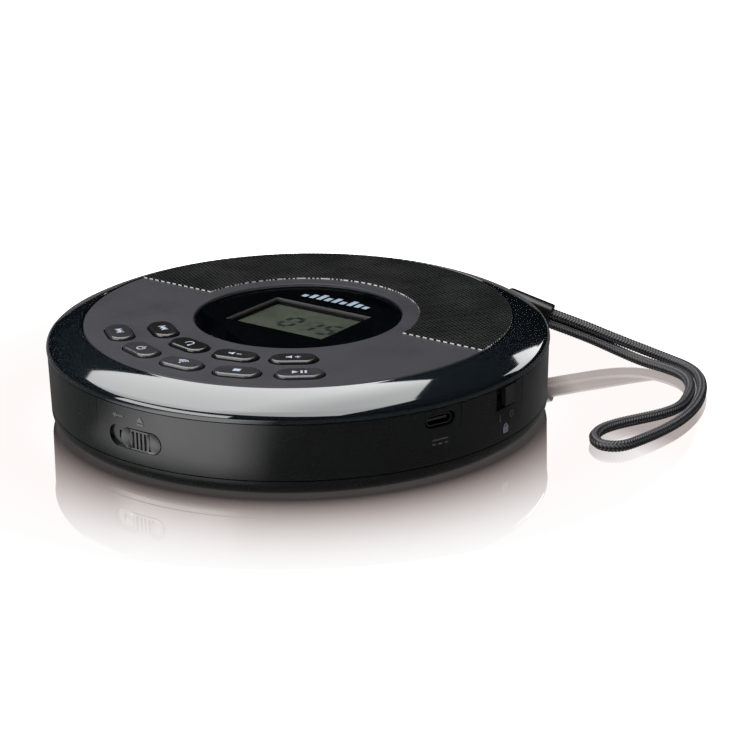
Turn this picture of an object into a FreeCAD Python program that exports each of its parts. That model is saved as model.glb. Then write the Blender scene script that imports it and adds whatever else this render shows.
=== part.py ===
import FreeCAD, Part
import math
import os
from types import SimpleNamespace

import Sketcher

# A round, disc-shaped portable compact-disc player with two built-in loudspeakers.
#
# Frame: millimetres, origin on the supporting surface under the centre of the case,
# +Z up through the display, -Y towards the user (the side with the opening slider),
# +X to the user's right (the side with the charging socket), +Y to the hinge.
# The disc door is the whole bottom shell: it hinges at the back and swings down.

OUT = "parts"
DOC = FreeCAD.newDocument("disc_player")
KEPT = []
UP = FreeCAD.Vector(0, 0, 1)
TO_THE_SIDE = FreeCAD.Rotation(FreeCAD.Vector(0, 1, 0), 90)


# ---------------------------------------------------------------- driving sizes

CELLS = {
    # outline of the case, from the surface it stands on upwards
    "case_r": 79.0,
    "foot_h": 0.8,
    "door_r": 78.5,
    "door_t": 1.5,
    "door_top_z": 5.6,
    "door_corner_r": 3.8,
    "band_foot_z": 5.9,
    "band_top_z": 22.9,
    "band_r": 78.8,
    "wall_in_r": 76.7,
    "ring_foot_z": 23.2,
    "ring_in_r": 68.0,
    "ring_slope_r": 38.0,
    "ring_nose_r": 3.0,
    "panel_z": 30.2,
    "panel_r": 67.3,
    "panel_t": 1.8,
    "gap": 0.3,
    # speaker opening and display
    "grille_in_r": 38.0,
    "grille_y": 2.5,
    "grille_t": 0.8,
    "grille_rise": 0.3,
    "lens_r": 32.5,
    "lens_t": 0.65,
    "lens_sink": 0.35,
    "mask_t": 0.25,
    "window_w": 38.0,
    "window_d": 26.7,
    "lcd_w": 40.0,
    "lcd_d": 29.0,
    "lcd_t": 2.0,
    "lcd_z": 24.9,
    # buttons
    "button_l": 14.3,
    "button_w": 7.6,
    "button_rise": 1.0,
    "button_travel": 0.6,
    "flange_t": 0.8,
    "flange_rim": 1.1,
    "key_gap": 0.5,
    "key_rows_turn": 0.75,
    "inner_row_r": 43.8,
    "inner_row_step": 23.33,
    "outer_row_r": 57.1,
    "outer_row_step": 18.6,
    # deck, board and cells
    "deck_z": 9.6,
    "deck_t": 1.2,
    "deck_r": 75.2,
    "board_z": 20.9,
    "board_t": 1.2,
    "board_r": 74.5,
    "board_back_y": 16.0,
    "cell_l": 50.0,
    "cell_d": 27.0,
    "cell_t": 6.4,
    "post_ring_r": 71.0,
    "post_r": 3.2,
    "screw_r": 1.0,
    # opening slider and hold switch
    "slot_w": 19.9,
    "slot_h": 6.8,
    "slot_z": 13.3,
    "slot_floor": 77.0,
    "seat_back": 75.2,
    "slider_l": 15.0,
    "slider_travel": 4.2,
    "hold_turn": 88.5,
    "hold_w": 9.9,
    "hold_low_z": 16.0,
    "hold_knob_w": 5.1,
    "hold_travel": 4.1,
    # sockets
    "usb_turn": 68.5,
    "usb_z": 19.3,
    "usb_shell_w": 8.94,
    "usb_shell_h": 3.16,
    "usb_depth": 7.3,
    "jack_turn": -110.0,
    "jack_z": 17.0,
    "jack_bore_r": 1.78,
    "jack_l": 14.0,
    # hinge
    "hinge_y": 76.6,
    "hinge_z": 8.0,
    "barrel_r": 2.2,
    "pin_r": 0.8,
    "notch_w": 34.0,
    "notch_top_z": 11.4,
    # disc drive
    "platter_r": 13.5,
    "platter_z": 7.7,
    "hub_r": 7.4,
    "spindle_r": 1.0,
    "motor_r": 12.0,
    "motor_h": 4.4,
    "rod_r": 1.0,
    "rod_y": 13.0,
    "rod_z": 13.0,
    "running": 0.05,
    "lens_home_x": -24.5,
    "sled_top_z": 14.8,
    "sled_half_w": 15.2,
    "pickup_r": 4.0,
    # gear train
    "module": 0.4,
    "slow_teeth": 18.0,
    "wheel_teeth": 40.0,
    "pinion_teeth": 16.0,
    "gear_x": -32.7,
    "rack_pitch_y": -18.0,
    "mesh_play": 0.06,
    "axle_r": 0.8,
    # loudspeakers
    "speaker_x": 37.0,
    "speaker_y": 37.0,
    "speaker_r": 14.2,
    # wrist strap
    "strap_turn": 170.0,
    "strap_d": 3.4,
    "string_d": 1.0,
    "post_pin_r": 0.8,
    "string_z": 17.2,
    "ferrule_l": 17.0,
    "ferrule_h": 10.4,
    "ferrule_t": 5.0,
}


class Size:
    """A length, with the spreadsheet formula that gives it."""

    def __init__(self, value, formula=None):
        self.value = float(value)
        self.formula = formula or "%.6f" % value

    def __add__(self, other):
        return join(self, "+", other)

    def __radd__(self, other):
        return join(other, "+", self)

    def __sub__(self, other):
        return join(self, "-", other)

    def __rsub__(self, other):
        return join(other, "-", self)

    def __mul__(self, other):
        return join(self, "*", other)

    def __rmul__(self, other):
        return join(other, "*", self)

    def __truediv__(self, other):
        return join(self, "/", other)

    def __neg__(self):
        return join(0, "-", self)


def size(amount):
    """amount itself if it is a Size, or else a plain number as one."""
    return amount if isinstance(amount, Size) else Size(amount)


def join(left, sign, right):
    a = size(left)
    b = size(right)
    value = {
        "+": a.value + b.value,
        "-": a.value - b.value,
        "*": a.value * b.value,
        "/": a.value / (b.value or 1.0),
    }[sign]
    return Size(value, "(%s %s %s)" % (a.formula, sign, b.formula))


def open_sheet():
    """Write the cells with their aliases, and give each back as a Size."""
    sheet = DOC.addObject("Spreadsheet::Sheet", "Sizes")
    sizes = {}
    for row, (alias, value) in enumerate(CELLS.items(), start=1):
        sheet.set("A%d" % row, alias)
        sheet.set("B%d" % row, str(value))
        sheet.setAlias("B%d" % row, alias)
        sizes[alias] = Size(value, "Sizes." + alias)
    DOC.recompute()
    return SimpleNamespace(**sizes)


S = open_sheet()


# ---------------------------------------------------------------- general tools


def bind(obj, prop, amount):
    obj.setExpression(prop, size(amount).formula)


def at(obj, x=0, y=0, z=0):
    """Put obj's own origin at x, y, z, each bound to the sheet."""
    for axis, amount in zip("xyz", (x, y, z)):
        bind(obj, "Placement.Base." + axis, amount)
    return obj


def turned(obj, degrees):
    """Turn obj about the case's axis, from the front towards +X. One whose own place is
    bound to the sheet goes in a holder, which turns instead."""
    if obj.ExpressionEngine:
        obj = group(obj)
    obj.Placement = FreeCAD.Placement(FreeCAD.Vector(), FreeCAD.Rotation(UP, size(degrees).value))
    return obj


def keep(obj, label):
    """Give a finished sub-part its name, and note it for export."""
    obj.Label = label
    KEPT.append(obj)
    return obj


def cylinder(radius, height, x=0, y=0, z=0):
    made = DOC.addObject("Part::Cylinder", "cylinder")
    bind(made, "Radius", radius)
    bind(made, "Height", height)
    return at(made, x, y, z)


def bar(radius, length, x=0, y=0, z=0):
    """A cylinder that lies along X and is centred on x."""
    made = DOC.addObject("Part::Cylinder", "bar")
    bind(made, "Radius", radius)
    bind(made, "Height", length)
    made.Placement.Rotation = TO_THE_SIDE
    return at(made, x - size(length) / 2, y, z)


def box(x, y, z, width, depth, height):
    """A box from its lowest corner."""
    made = DOC.addObject("Part::Box", "box")
    bind(made, "Length", width)
    bind(made, "Width", depth)
    bind(made, "Height", height)
    return at(made, x, y, z)


def ball(radius, x=0, y=0, z=0):
    made = DOC.addObject("Part::Sphere", "ball")
    bind(made, "Radius", radius)
    return at(made, x, y, z)


def cone(low_r, high_r, height, x=0, y=0, z=0):
    made = DOC.addObject("Part::Cone", "cone")
    bind(made, "Radius1", low_r)
    bind(made, "Radius2", high_r)
    bind(made, "Height", height)
    return at(made, x, y, z)


def fuse(*pieces):
    made = DOC.addObject("Part::MultiFuse", "fuse")
    made.Shapes = list(pieces)
    return made


def group(*pieces):
    """Several separate solids under one name."""
    made = DOC.addObject("Part::Compound", "group")
    made.Links = list(pieces)
    return made


def cut(base, *tools):
    made = DOC.addObject("Part::Cut", "cut")
    made.Base = base
    made.Tool = tools[0] if len(tools) == 1 else fuse(*tools)
    return made


def common(*pieces):
    made = DOC.addObject("Part::MultiCommon", "common")
    made.Shapes = list(pieces)
    return made


def new_body(name):
    return DOC.addObject("PartDesign::Body", name)


def origin_item(body, role):
    return next(item for item in body.Origin.OriginFeatures if item.Role == role)


def sketch_on(body, role="XY_Plane", height=0):
    """A sketch on one of the body's own planes, lifted along the plane's normal."""
    sketch = body.newObject("Sketcher::SketchObject", "sketch")
    sketch.AttachmentSupport = [(origin_item(body, role), "")]
    sketch.MapMode = "FlatFace"
    bind(sketch, "AttachmentOffset.Base.z", height)
    return sketch


def hold(sketch, kind, place, amount):
    """A driving constraint whose value is bound to the sheet."""
    amount = size(amount)
    index = sketch.addConstraint(Sketcher.Constraint(kind, *place, amount.value))
    sketch.setExpression("Constraints[%d]" % index, amount.formula)


def hold_point(sketch, item, vertex, x, y):
    hold(sketch, "DistanceX", (-1, 1, item, vertex), x)
    hold(sketch, "DistanceY", (-1, 1, item, vertex), y)


def draw_circle(sketch, radius, x=0, y=0):
    centre = FreeCAD.Vector(size(x).value, size(y).value, 0)
    item = sketch.addGeometry(Part.Circle(centre, UP, size(radius).value), False)
    hold_point(sketch, item, 3, x, y)
    hold(sketch, "Radius", (item,), radius)


def draw_outline(sketch, corners, arcs=None):
    """A closed outline through the corners. arcs gives the radius of each side that is
    an arc, by the index of its first corner; its centre lies right of the way round."""
    arcs = arcs or {}
    points = [FreeCAD.Vector(size(x).value, size(y).value, 0) for x, y in corners]
    ends = []
    for index, start in enumerate(points):
        end = points[(index + 1) % len(points)]
        if index not in arcs:
            item = sketch.addGeometry(Part.LineSegment(start, end), False)
            ends.append((item, 1, 2))
            continue
        radius = size(arcs[index])
        chord = end - start
        to_right = FreeCAD.Vector(chord.y, -chord.x, 0).normalize()
        drop = math.sqrt(max(radius.value**2 - (chord.Length / 2) ** 2, 0))
        centre = (start + end) / 2 + to_right * drop
        circle = Part.Circle(centre, UP, radius.value)
        arc = Part.ArcOfCircle(circle, circle.parameter(end), circle.parameter(start))
        item = sketch.addGeometry(arc, False)
        hold(sketch, "Radius", (item,), radius)
        ends.append((item, 2, 1))
    for index, (x, y) in enumerate(corners):
        item, first, _ = ends[index]
        before, _, last = ends[index - 1]
        sketch.addConstraint(Sketcher.Constraint("Coincident", before, last, item, first))
        hold_point(sketch, item, first, x, y)


def draw_box(sketch, width, depth, x=0, y=0):
    half_w = size(width) / 2
    half_d = size(depth) / 2
    left, right = x - half_w, x + half_w
    low, high = y - half_d, y + half_d
    draw_outline(sketch, [(left, low), (right, low), (right, high), (left, high)])


def draw_pill(sketch, length, width, x=0, y=0):
    """A slot shape that lies along the sketch's own X axis."""
    radius = size(width) / 2
    reach = size(length) / 2 - radius
    end_items = []
    for side in (1, -1):
        centre = FreeCAD.Vector((x + side * reach).value, size(y).value, 0)
        circle = Part.Circle(centre, UP, radius.value)
        start = -math.pi / 2 if side == 1 else math.pi / 2
        item = sketch.addGeometry(Part.ArcOfCircle(circle, start, start + math.pi), False)
        hold_point(sketch, item, 3, x + side * reach, y)
        hold(sketch, "Radius", (item,), radius)
        end_items.append(item)
    right, left = end_items
    for first, last, side in ((right, left, 1), (left, right, -1)):
        start = FreeCAD.Vector((x + side * reach).value, (y + side * radius).value, 0)
        end = FreeCAD.Vector((x - side * reach).value, (y + side * radius).value, 0)
        item = sketch.addGeometry(Part.LineSegment(start, end), False)
        sketch.addConstraint(Sketcher.Constraint("Tangent", first, 2, item, 1))
        sketch.addConstraint(Sketcher.Constraint("Tangent", item, 2, last, 1))


def pad(body, sketch, length):
    feature = body.newObject("PartDesign::Pad", "pad")
    feature.Profile = sketch
    bind(feature, "Length", length)
    return feature


def pocket(body, sketch, depth, taper=0):
    """Cut along the sketch's normal, and check that something was cut."""
    before = body.Tip
    DOC.recompute()
    volume = before.Shape.Volume
    feature = body.newObject("PartDesign::Pocket", "pocket")
    feature.Profile = sketch
    feature.Reversed = True
    bind(feature, "Length", depth)
    feature.TaperAngle = taper
    DOC.recompute()
    assert feature.Shape.Volume < volume - 1e-6, "pocket in %s cuts nothing" % body.Name
    return feature


def revolve(body, sketch):
    feature = body.newObject("PartDesign::Revolution", "revolution")
    feature.Profile = sketch
    feature.ReferenceAxis = (sketch, ["V_Axis"])
    feature.Angle = 360
    return feature


def repeat_round(body, feature, angle, count):
    """Repeat a feature about the case's axis over the whole of angle."""
    pattern = body.newObject("PartDesign::PolarPattern", "pattern")
    pattern.Originals = [feature]
    pattern.Axis = (origin_item(body, "Z_Axis"), [""])
    bind(pattern, "Angle", angle)
    pattern.Occurrences = count
    body.Tip = pattern
    return pattern


def soften(body, kind, amount, wanted):
    """Fillet or chamfer the edges of the body's last feature that wanted picks."""
    DOC.recompute()
    base = body.Tip
    edges = ["Edge%d" % (i + 1) for i, edge in enumerate(base.Shape.Edges) if wanted(edge)]
    feature = body.newObject("PartDesign::" + kind, kind.lower())
    feature.Base = (base, edges)
    bind(feature, "Radius" if kind == "Fillet" else "Size", amount)
    return feature


def lies_at(height):
    """A test for edges that lie wholly at one height."""
    level = size(height).value
    return lambda edge: abs(edge.BoundBox.ZMin - level) < 1e-4 and abs(edge.BoundBox.ZMax - level) < 1e-4


def is_upright(edge):
    box_ = edge.BoundBox
    return box_.XLength < 1e-4 and box_.YLength < 1e-4


def front_prism(name, draw, start, depth):
    """A prism that points out of the front (-Y), from a radius start outwards. draw
    draws it on a sketch whose axes are X and Z."""
    body = new_body(name)
    sketch = sketch_on(body, "XZ_Plane", start)
    draw(sketch)
    pad(body, sketch, depth)
    return body


def shaped(name, shape, placement=None):
    """A sub-part whose shape comes from a formula."""
    made = DOC.addObject("Part::Feature", name)
    made.Shape = shape
    made.Placement = placement or FreeCAD.Placement()
    return made


# ---------------------------------------------------------------- casing


def make_top_ring():
    """Glossy ring round the top panel, with a ledge that carries panel and grille."""
    body = new_body("top_ring")
    sketch = sketch_on(body, "XZ_Plane")
    lip = S.case_r - 0.8
    ledge_z = S.panel_z - S.panel_t
    corners = [
        (S.ring_in_r, S.panel_z),
        (S.case_r - 1.7, S.panel_z - 3.6),
        (S.case_r, S.ring_foot_z + 0.2),
        (S.case_r, S.ring_foot_z),
        (lip, S.ring_foot_z),
        (lip, S.band_top_z),
        (S.wall_in_r, S.band_top_z),
        (S.wall_in_r, S.band_top_z + 1.3),
        (S.ring_in_r + 2, ledge_z - 1.2),
        (S.ring_in_r - 3.5, ledge_z - 1.2),
        (S.ring_in_r - 3.5, ledge_z),
        (S.ring_in_r, ledge_z),
    ]
    draw_outline(sketch, corners, {0: S.ring_slope_r, 1: S.ring_nose_r})
    revolve(body, sketch)
    keep(body, "top_ring")


def draw_grille_region(sketch, inner_r, front_y):
    """Everything behind front_y and outside inner_r, well past the case."""
    side = math.sqrt(inner_r.value**2 - front_y.value**2)
    far = S.case_r
    corners = [(-far, front_y), (-side, front_y), (side, front_y), (far, front_y), (far, far), (-far, far)]
    draw_outline(sketch, corners, {1: inner_r})


def make_top_panel():
    """Matte panel: the display hole, the open back half for the grille, button holes."""
    body = new_body("top_panel")
    low = S.panel_z - S.panel_t
    sketch = sketch_on(body, height=low)
    draw_circle(sketch, S.panel_r)
    draw_circle(sketch, S.lens_r + S.gap)
    pad(body, sketch, S.panel_t)
    soften(body, "Chamfer", 0.3, lies_at(S.panel_z))
    sketch = sketch_on(body, height=low)
    draw_grille_region(sketch, S.grille_in_r, S.grille_y)
    pocket(body, sketch, S.panel_t)
    rows = ((S.inner_row_r, S.inner_row_step, 4), (S.outer_row_r, S.outer_row_step, 5))
    for radius, step, count in rows:
        spread = step * (count - 1)
        half = math.radians(spread.value / 2)
        sketch = sketch_on(body, height=low)
        draw_pill(sketch, S.button_l + 2 * S.key_gap, S.button_w + 2 * S.key_gap, 0, -radius)
        first_turn = S.key_rows_turn.value - math.degrees(half)
        sketch.AttachmentOffset.Rotation = FreeCAD.Rotation(UP, first_turn)
        hole = pocket(body, sketch, S.panel_t)
        repeat_round(body, hole, spread, count)
    keep(body, "top_panel")


def make_grille():
    """Speaker grille: a half ring of sheet, a little proud of the panel, with a turned-down
    rim that stands on the ring's ledge. The perforation is left out of this solid."""
    outer = S.panel_r - 0.1
    inner = S.grille_in_r + S.gap
    front = S.grille_y + S.gap
    ledge_z = S.panel_z - S.panel_t
    top = S.panel_z + S.grille_rise
    body = new_body("speaker_grille")
    sketch = sketch_on(body, height=ledge_z)
    draw_circle(sketch, outer)
    draw_circle(sketch, inner)
    pad(body, sketch, top - ledge_z)
    sketch = sketch_on(body, height=ledge_z)
    draw_box(sketch, outer * 2 + 2, S.case_r, 0, front - S.case_r / 2)
    pocket(body, sketch, top - ledge_z)
    sketch = sketch_on(body, height=ledge_z)
    draw_circle(sketch, outer - 1)
    draw_circle(sketch, inner + 1)
    hollow = pocket(body, sketch, top - S.grille_t - ledge_z)
    hollow.Label = "underside"
    keep(body, "speaker_grille")


def make_display():
    """Clear lens, printed mask with its window, bezel, LCD glass and backlight."""
    lens_top = S.panel_z - S.lens_sink
    lens_low = lens_top - S.lens_t
    mask_low = lens_low - S.mask_t
    body = new_body("display_lens")
    sketch = sketch_on(body, height=lens_low)
    draw_circle(sketch, S.lens_r)
    pad(body, sketch, S.lens_t)
    soften(body, "Chamfer", 0.25, lies_at(lens_top))
    keep(body, "display_lens")

    body = new_body("display_mask")
    sketch = sketch_on(body, height=mask_low)
    draw_circle(sketch, S.lens_r)
    draw_box(sketch, S.window_w, S.window_d)
    pad(body, sketch, S.mask_t)
    keep(body, "display_mask")

    lcd_top = S.lcd_z + S.lcd_t
    body = new_body("display_bezel")
    sketch = sketch_on(body, height=lcd_top)
    draw_circle(sketch, S.lens_r + 3)
    pad(body, sketch, S.panel_z - S.panel_t - lcd_top)
    sketch = sketch_on(body, height=lcd_top)
    draw_circle(sketch, S.lens_r)
    pad(body, sketch, mask_low - lcd_top)
    sketch = sketch_on(body, height=lcd_top)
    draw_box(sketch, S.window_w - 1.2, S.window_d - 1.2)
    pocket(body, sketch, mask_low - lcd_top, 12)
    keep(body, "display_bezel")

    glass = box(-S.lcd_w / 2, -S.lcd_d / 2, S.lcd_z, S.lcd_w, S.lcd_d, S.lcd_t)
    keep(glass, "lcd_glass")
    light_t = 1.4
    light = box(-S.lcd_w / 2, -S.lcd_d / 2, S.lcd_z - light_t, S.lcd_w, S.lcd_d, light_t)
    keep(light, "lcd_backlight")


def ring_post(turn, low, high):
    """A screw post inside the wall, with a web that ties it to the wall."""
    post = cylinder(S.post_r, high - low, 0, -S.post_ring_r, low)
    web = box(-1.2, -S.wall_in_r - 0.5, low, 2.4, S.wall_in_r - S.post_ring_r + 0.5, high - low)
    return turned(fuse(post, web), turn)


POST_TURNS = (45, -45, 140, -140)


def make_housing_band():
    """Side wall of the case: seats for the slider and the switch, screw posts, the
    hinge knuckle, the strap recess and the cut-outs for the sockets."""
    wall = new_body("band_wall")
    sketch = sketch_on(wall, "XZ_Plane")
    corners = [
        (S.wall_in_r, S.band_top_z),
        (S.band_r, S.band_top_z),
        (S.door_r, S.band_foot_z),
        (S.wall_in_r, S.band_foot_z),
    ]
    draw_outline(sketch, corners)
    revolve(wall, sketch)

    deck_top = S.deck_z + S.deck_t
    inset = S.wall_in_r + 0.4
    slider_seat = box(-14, -inset, S.slot_z - 5.3, 28, inset - S.seat_back, 10.4)
    spring_stop = box(-14, -S.seat_back - 0.2, S.slot_z - 2, 1, 3.6, 4)
    hold_seat = turned(box(-7.5, -inset, 13.5, 15, inset - S.seat_back, S.board_z - 13.5), S.hold_turn)
    strap_seat = turned(box(-8.0, -inset, 12.4, 13.5, 3.9, 9.4), S.strap_turn)
    posts = [ring_post(turn, deck_top, S.board_z) for turn in POST_TURNS]
    web_low = S.hinge_z
    web = box(-6.9, S.hinge_y - 1.7, web_low, 13.8, 3.5, S.notch_top_z + 1.6 - web_low)
    barrel = bar(S.barrel_r, 13.8, 0, S.hinge_y, S.hinge_z)
    inside = cylinder(S.band_r - 0.2, S.band_top_z)
    knuckle = common(fuse(web, barrel), inside)

    def open_slot(sketch):
        draw_pill(sketch, S.slot_w, S.slot_h, 0, S.slot_z)

    def usb_hole(sketch):
        draw_pill(sketch, S.usb_shell_w + 1.46, S.usb_shell_h + 1.14, 0, S.usb_z)

    notch_low = S.band_foot_z - 1
    notch = box(-S.notch_w / 2, S.hinge_y - 5, notch_low, S.notch_w, 10, S.notch_top_z - notch_low)
    hold_out = 1 + S.case_r - S.slot_floor
    tools = [
        front_prism("open_slot", open_slot, S.slot_floor, 5),
        box(-6.9, -S.slot_floor - 1, S.slot_z - 1.2, 13.8, 4, 2.4),
        turned(box(-S.hold_w / 2, -S.case_r - 1, S.hold_low_z, S.hold_w, hold_out, 10), S.hold_turn),
        turned(box(-3.9, -S.slot_floor - 1, 18.2, 7.8, 4, 2.0), S.hold_turn),
        turned(front_prism("usb_hole", usb_hole, S.wall_in_r - 1, 5), S.usb_turn),
        turned(front_hole(3.2, S.jack_z, S.wall_in_r - 1, 5), S.jack_turn),
        turned(box(-6.2, -S.case_r - 1, 14.0, 9.8, 5.2, 6.4), S.strap_turn),
        turned(cylinder(S.post_pin_r, 7.6, 0, -S.slot_floor, 13.4), S.strap_turn),
    ]
    for turn in POST_TURNS:
        tools.append(turned(cylinder(S.screw_r, 30, 0, -S.post_ring_r, 0), turn))
    for turn in (-11.2, 74.0, 95.4):
        tools.append(turned(box(-0.11, -S.case_r - 0.1, S.band_foot_z - 1, 0.22, 0.46, 30), turn))
    shell = cut(fuse(wall, slider_seat, spring_stop, hold_seat, strap_seat, *posts), notch, *tools)
    pin_hole = bar(S.pin_r, 20, 0, S.hinge_y, S.hinge_z)
    keep(cut(fuse(shell, knuckle), pin_hole), "housing_band")


def front_hole(radius, height, start, depth):
    """A round bore that points out of the front, as a tool."""
    return front_prism("bore", lambda sketch: draw_circle(sketch, radius, 0, height), start, depth)


def make_disc_door():
    """Bottom shell, which is the disc door: a dish with two hinge arms and a strike."""
    dish = new_body("door_dish")
    sketch = sketch_on(dish, "XZ_Plane")
    rim_in = S.door_r - 1.6
    floor_top = S.foot_h + S.door_t
    corners = [
        (rim_in, S.door_top_z),
        (S.door_r, S.door_top_z),
        (S.door_r, S.foot_h + S.door_corner_r),
        (S.door_r - S.door_corner_r, S.foot_h),
        (0, S.foot_h),
        (0, floor_top),
        (rim_in - 1.5, floor_top),
        (rim_in, floor_top + 1.5),
    ]
    draw_outline(sketch, corners, {2: S.door_corner_r})
    revolve(dish, sketch)

    arms = []
    for side in (-1, 1):
        x = side * 10.1
        arm_low = floor_top - 0.5
        arm = box(x - 2.7, S.hinge_y - S.barrel_r, arm_low, 5.4, 2 * S.barrel_r, S.hinge_z - arm_low)
        barrel = bar(S.barrel_r, 5.4, x, S.hinge_y, S.hinge_z)
        arms.append(fuse(arm, barrel))
    arms = common(fuse(*arms), cylinder(S.door_r, 20))
    strike_post = box(0.6, -71.9, floor_top - 0.5, 6, 1.4, 7.2)
    strike_ledge = box(0.6, -73.6, floor_top + 5.5, 3.4, 2.4, 1.2)
    relief = box(-7.3, S.hinge_y - 3, S.door_top_z - 0.8, 14.6, 6, 2)
    pin_hole = bar(S.pin_r + S.running, 40, 0, S.hinge_y, S.hinge_z)
    solid = fuse(cut(dish, relief), arms, strike_post, strike_ledge)
    keep(cut(solid, pin_hole), "disc_door")

    pads = []
    for turn in (45, 135, 225, 315):
        pads.append(turned(cone(5.2, 5.5, S.foot_h, 0, -62), turn))
    keep(group(*pads), "door_feet")
    pin = bar(S.pin_r, 25.4, 0, S.hinge_y, S.hinge_z)
    keep(pin, "hinge_pin")


# ---------------------------------------------------------------- controls

BUTTONS = (
    ("previous_button", "inner", 1.5),
    ("repeat_button", "inner", 0.5),
    ("volume_down_button", "inner", -0.5),
    ("volume_up_button", "inner", -1.5),
    ("next_button", "outer", 2),
    ("power_button", "outer", 1),
    ("wireless_button", "outer", 0),
    ("stop_button", "outer", -1),
    ("play_button", "outer", -2),
)


def make_buttons():
    """Nine alike pill caps in two rows, each with a flange that stops it under the
    panel and a stem, and the nine switches on the board below them."""
    flange_top = S.panel_z - S.panel_t - S.gap
    cap_top = S.panel_z + S.button_rise
    switches = []
    for name, row, steps in BUTTONS:
        radius = S.inner_row_r if row == "inner" else S.outer_row_r
        step = S.inner_row_step if row == "inner" else S.outer_row_step
        body = new_body(name)
        sketch = sketch_on(body, height=flange_top - S.flange_t)
        draw_pill(sketch, S.button_l + 2 * S.flange_rim, S.button_w + 2 * S.flange_rim, 0, -radius)
        pad(body, sketch, S.flange_t)
        sketch = sketch_on(body, height=flange_top - S.flange_t)
        draw_pill(sketch, S.button_l, S.button_w, 0, -radius)
        pad(body, sketch, cap_top - flange_top + S.flange_t)
        soften(body, "Fillet", 0.8, lies_at(cap_top))
        sketch = sketch_on(body, height=flange_top - S.flange_t - 0.8)
        draw_circle(sketch, 1.5, 0, -radius)
        pad(body, sketch, 1.6)
        turned(body, S.key_rows_turn - step * steps)
        keep(body, name)

        board_top = S.board_z + S.board_t
        case = box(-2.25, -radius - 2.25, board_top, 4.5, 4.5, 1.8)
        plunger = cylinder(1.0, 3.4, 0, -radius, board_top)
        switches.append(turned(fuse(case, plunger), -step * steps))
    keep(group(*switches), "button_switches")


def make_open_slider():
    """Knob with ribs and dished ends, its stem through the wall, and the latch plate."""
    half_h = S.slot_h / 2 - S.gap
    right = S.slot_w / 2 - S.gap
    left = right - S.slider_l
    knob_low = S.slot_floor + 0.15
    middle = (left + right) / 2

    def knob_face(sketch):
        draw_pill(sketch, S.slider_l, 2 * half_h, middle, S.slot_z)

    knob = front_prism("open_knob", knob_face, knob_low, S.band_r - 0.1 - knob_low)
    dish_r = 9.0
    dishes = []
    for x in (left + 1.9, right - 1.9):
        dishes.append(ball(dish_r, x, -S.band_r - dish_r + 0.9, S.slot_z))
    grooves = []
    for index in range(6):
        x = middle + (index - 2.5) * 1.5
        grooves.append(box(x - 0.4, -S.case_r - 1, S.slot_z - 2.6, 0.8, 1.9, 5.2))
    knob = cut(knob, *dishes, *grooves)
    stem = box(-2.4, -knob_low - 0.2, S.slot_z - 0.9, 8.8, knob_low + 0.2 - S.seat_back + 0.3, 1.8)
    plate = box(-4.0, -S.seat_back + 0.15, 9.0, 10.4, 1.0, 6.6)
    tail = box(-3.6, -S.seat_back + 0.15, 6.0, 3.9, 1.0, 4.0)
    toe = box(-3.6, -S.seat_back + 0.15, 6.0, 3.9, 2.6, 1.2)
    keep(fuse(knob, stem), "open_slider_knob")
    keep(fuse(cut(plate, stem_copy()), tail, toe), "latch_plate")

    spring_start = FreeCAD.Vector(-12.75, -S.seat_back.value + 1.7, S.slot_z.value)
    coil = Part.makeHelix(1.25, 8.6, 1.2)
    start = coil.Edges[0].Vertexes[0].Point
    section = Part.Wire(Part.Circle(start, FreeCAD.Vector(0, 1, 0), 0.2).toShape())
    wire = Part.Wire(coil.Edges).makePipeShell([section], True, True)
    keep(shaped("latch_spring", wire, FreeCAD.Placement(spring_start, TO_THE_SIDE)), "latch_spring")


def stem_copy():
    return box(-2.4, -S.seat_back - 1, S.slot_z - 0.9, 8.8, 1.3, 1.8)


def make_hold_switch():
    """Hold knob in its upright slot, and the slide switch on the board behind it."""
    right = S.hold_w / 2 - S.gap
    knob_low = S.slot_floor + 0.15
    left = right - S.hold_knob_w
    knob = box(left, -S.band_r + 0.05, S.hold_low_z + 0.4, S.hold_knob_w, S.band_r - 0.05 - knob_low, 6.1)
    stem = box(right - 3.4, -knob_low - 0.1, 18.4, 2.2, knob_low + 0.1 - S.seat_back + 0.8, 1.6)
    keep(turned(fuse(knob, stem), S.hold_turn), "hold_knob")
    case = box(-5.2, -S.seat_back + 1.2, 17.1, 10.4, 3.4, S.board_z - 17.1)
    keep(turned(case, S.hold_turn), "hold_switch")


def make_sockets():
    """USB-C receptacle, and the headphone jack on the side away from the user."""
    mouth = S.case_r - 1.1
    back = mouth - S.usb_depth

    def outside(sketch):
        draw_pill(sketch, S.usb_shell_w, S.usb_shell_h, 0, S.usb_z)

    def inside(sketch):
        draw_pill(sketch, S.usb_shell_w - 0.6, S.usb_shell_h - 0.6, 0, S.usb_z)

    def tongue(sketch):
        draw_box(sketch, 6.7, 0.7, 0, S.usb_z)

    shell = cut(
        front_prism("usb_outer", outside, back, S.usb_depth),
        front_prism("usb_inner", inside, back + 0.4, S.usb_depth),
    )
    keep(turned(shell, S.usb_turn), "usb_shell")
    keep(turned(front_prism("usb_tongue", tongue, back + 0.4, S.usb_depth - 1.4), S.usb_turn), "usb_tongue")

    jack_back = S.band_r - S.jack_l
    jack = fuse(
        front_hole(3.0, S.jack_z, S.wall_in_r - 0.5, S.band_r - 0.1 - S.wall_in_r + 0.5),
        box(-3.2, -S.wall_in_r + 0.3, S.jack_z - 3.0, 6.4, S.wall_in_r - 0.3 - jack_back, 6.0),
    )
    bore = front_hole(S.jack_bore_r, S.jack_z, jack_back + 1, S.jack_l)
    keep(turned(cut(jack, bore), S.jack_turn), "headphone_jack")


# ---------------------------------------------------------------- inside


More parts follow.
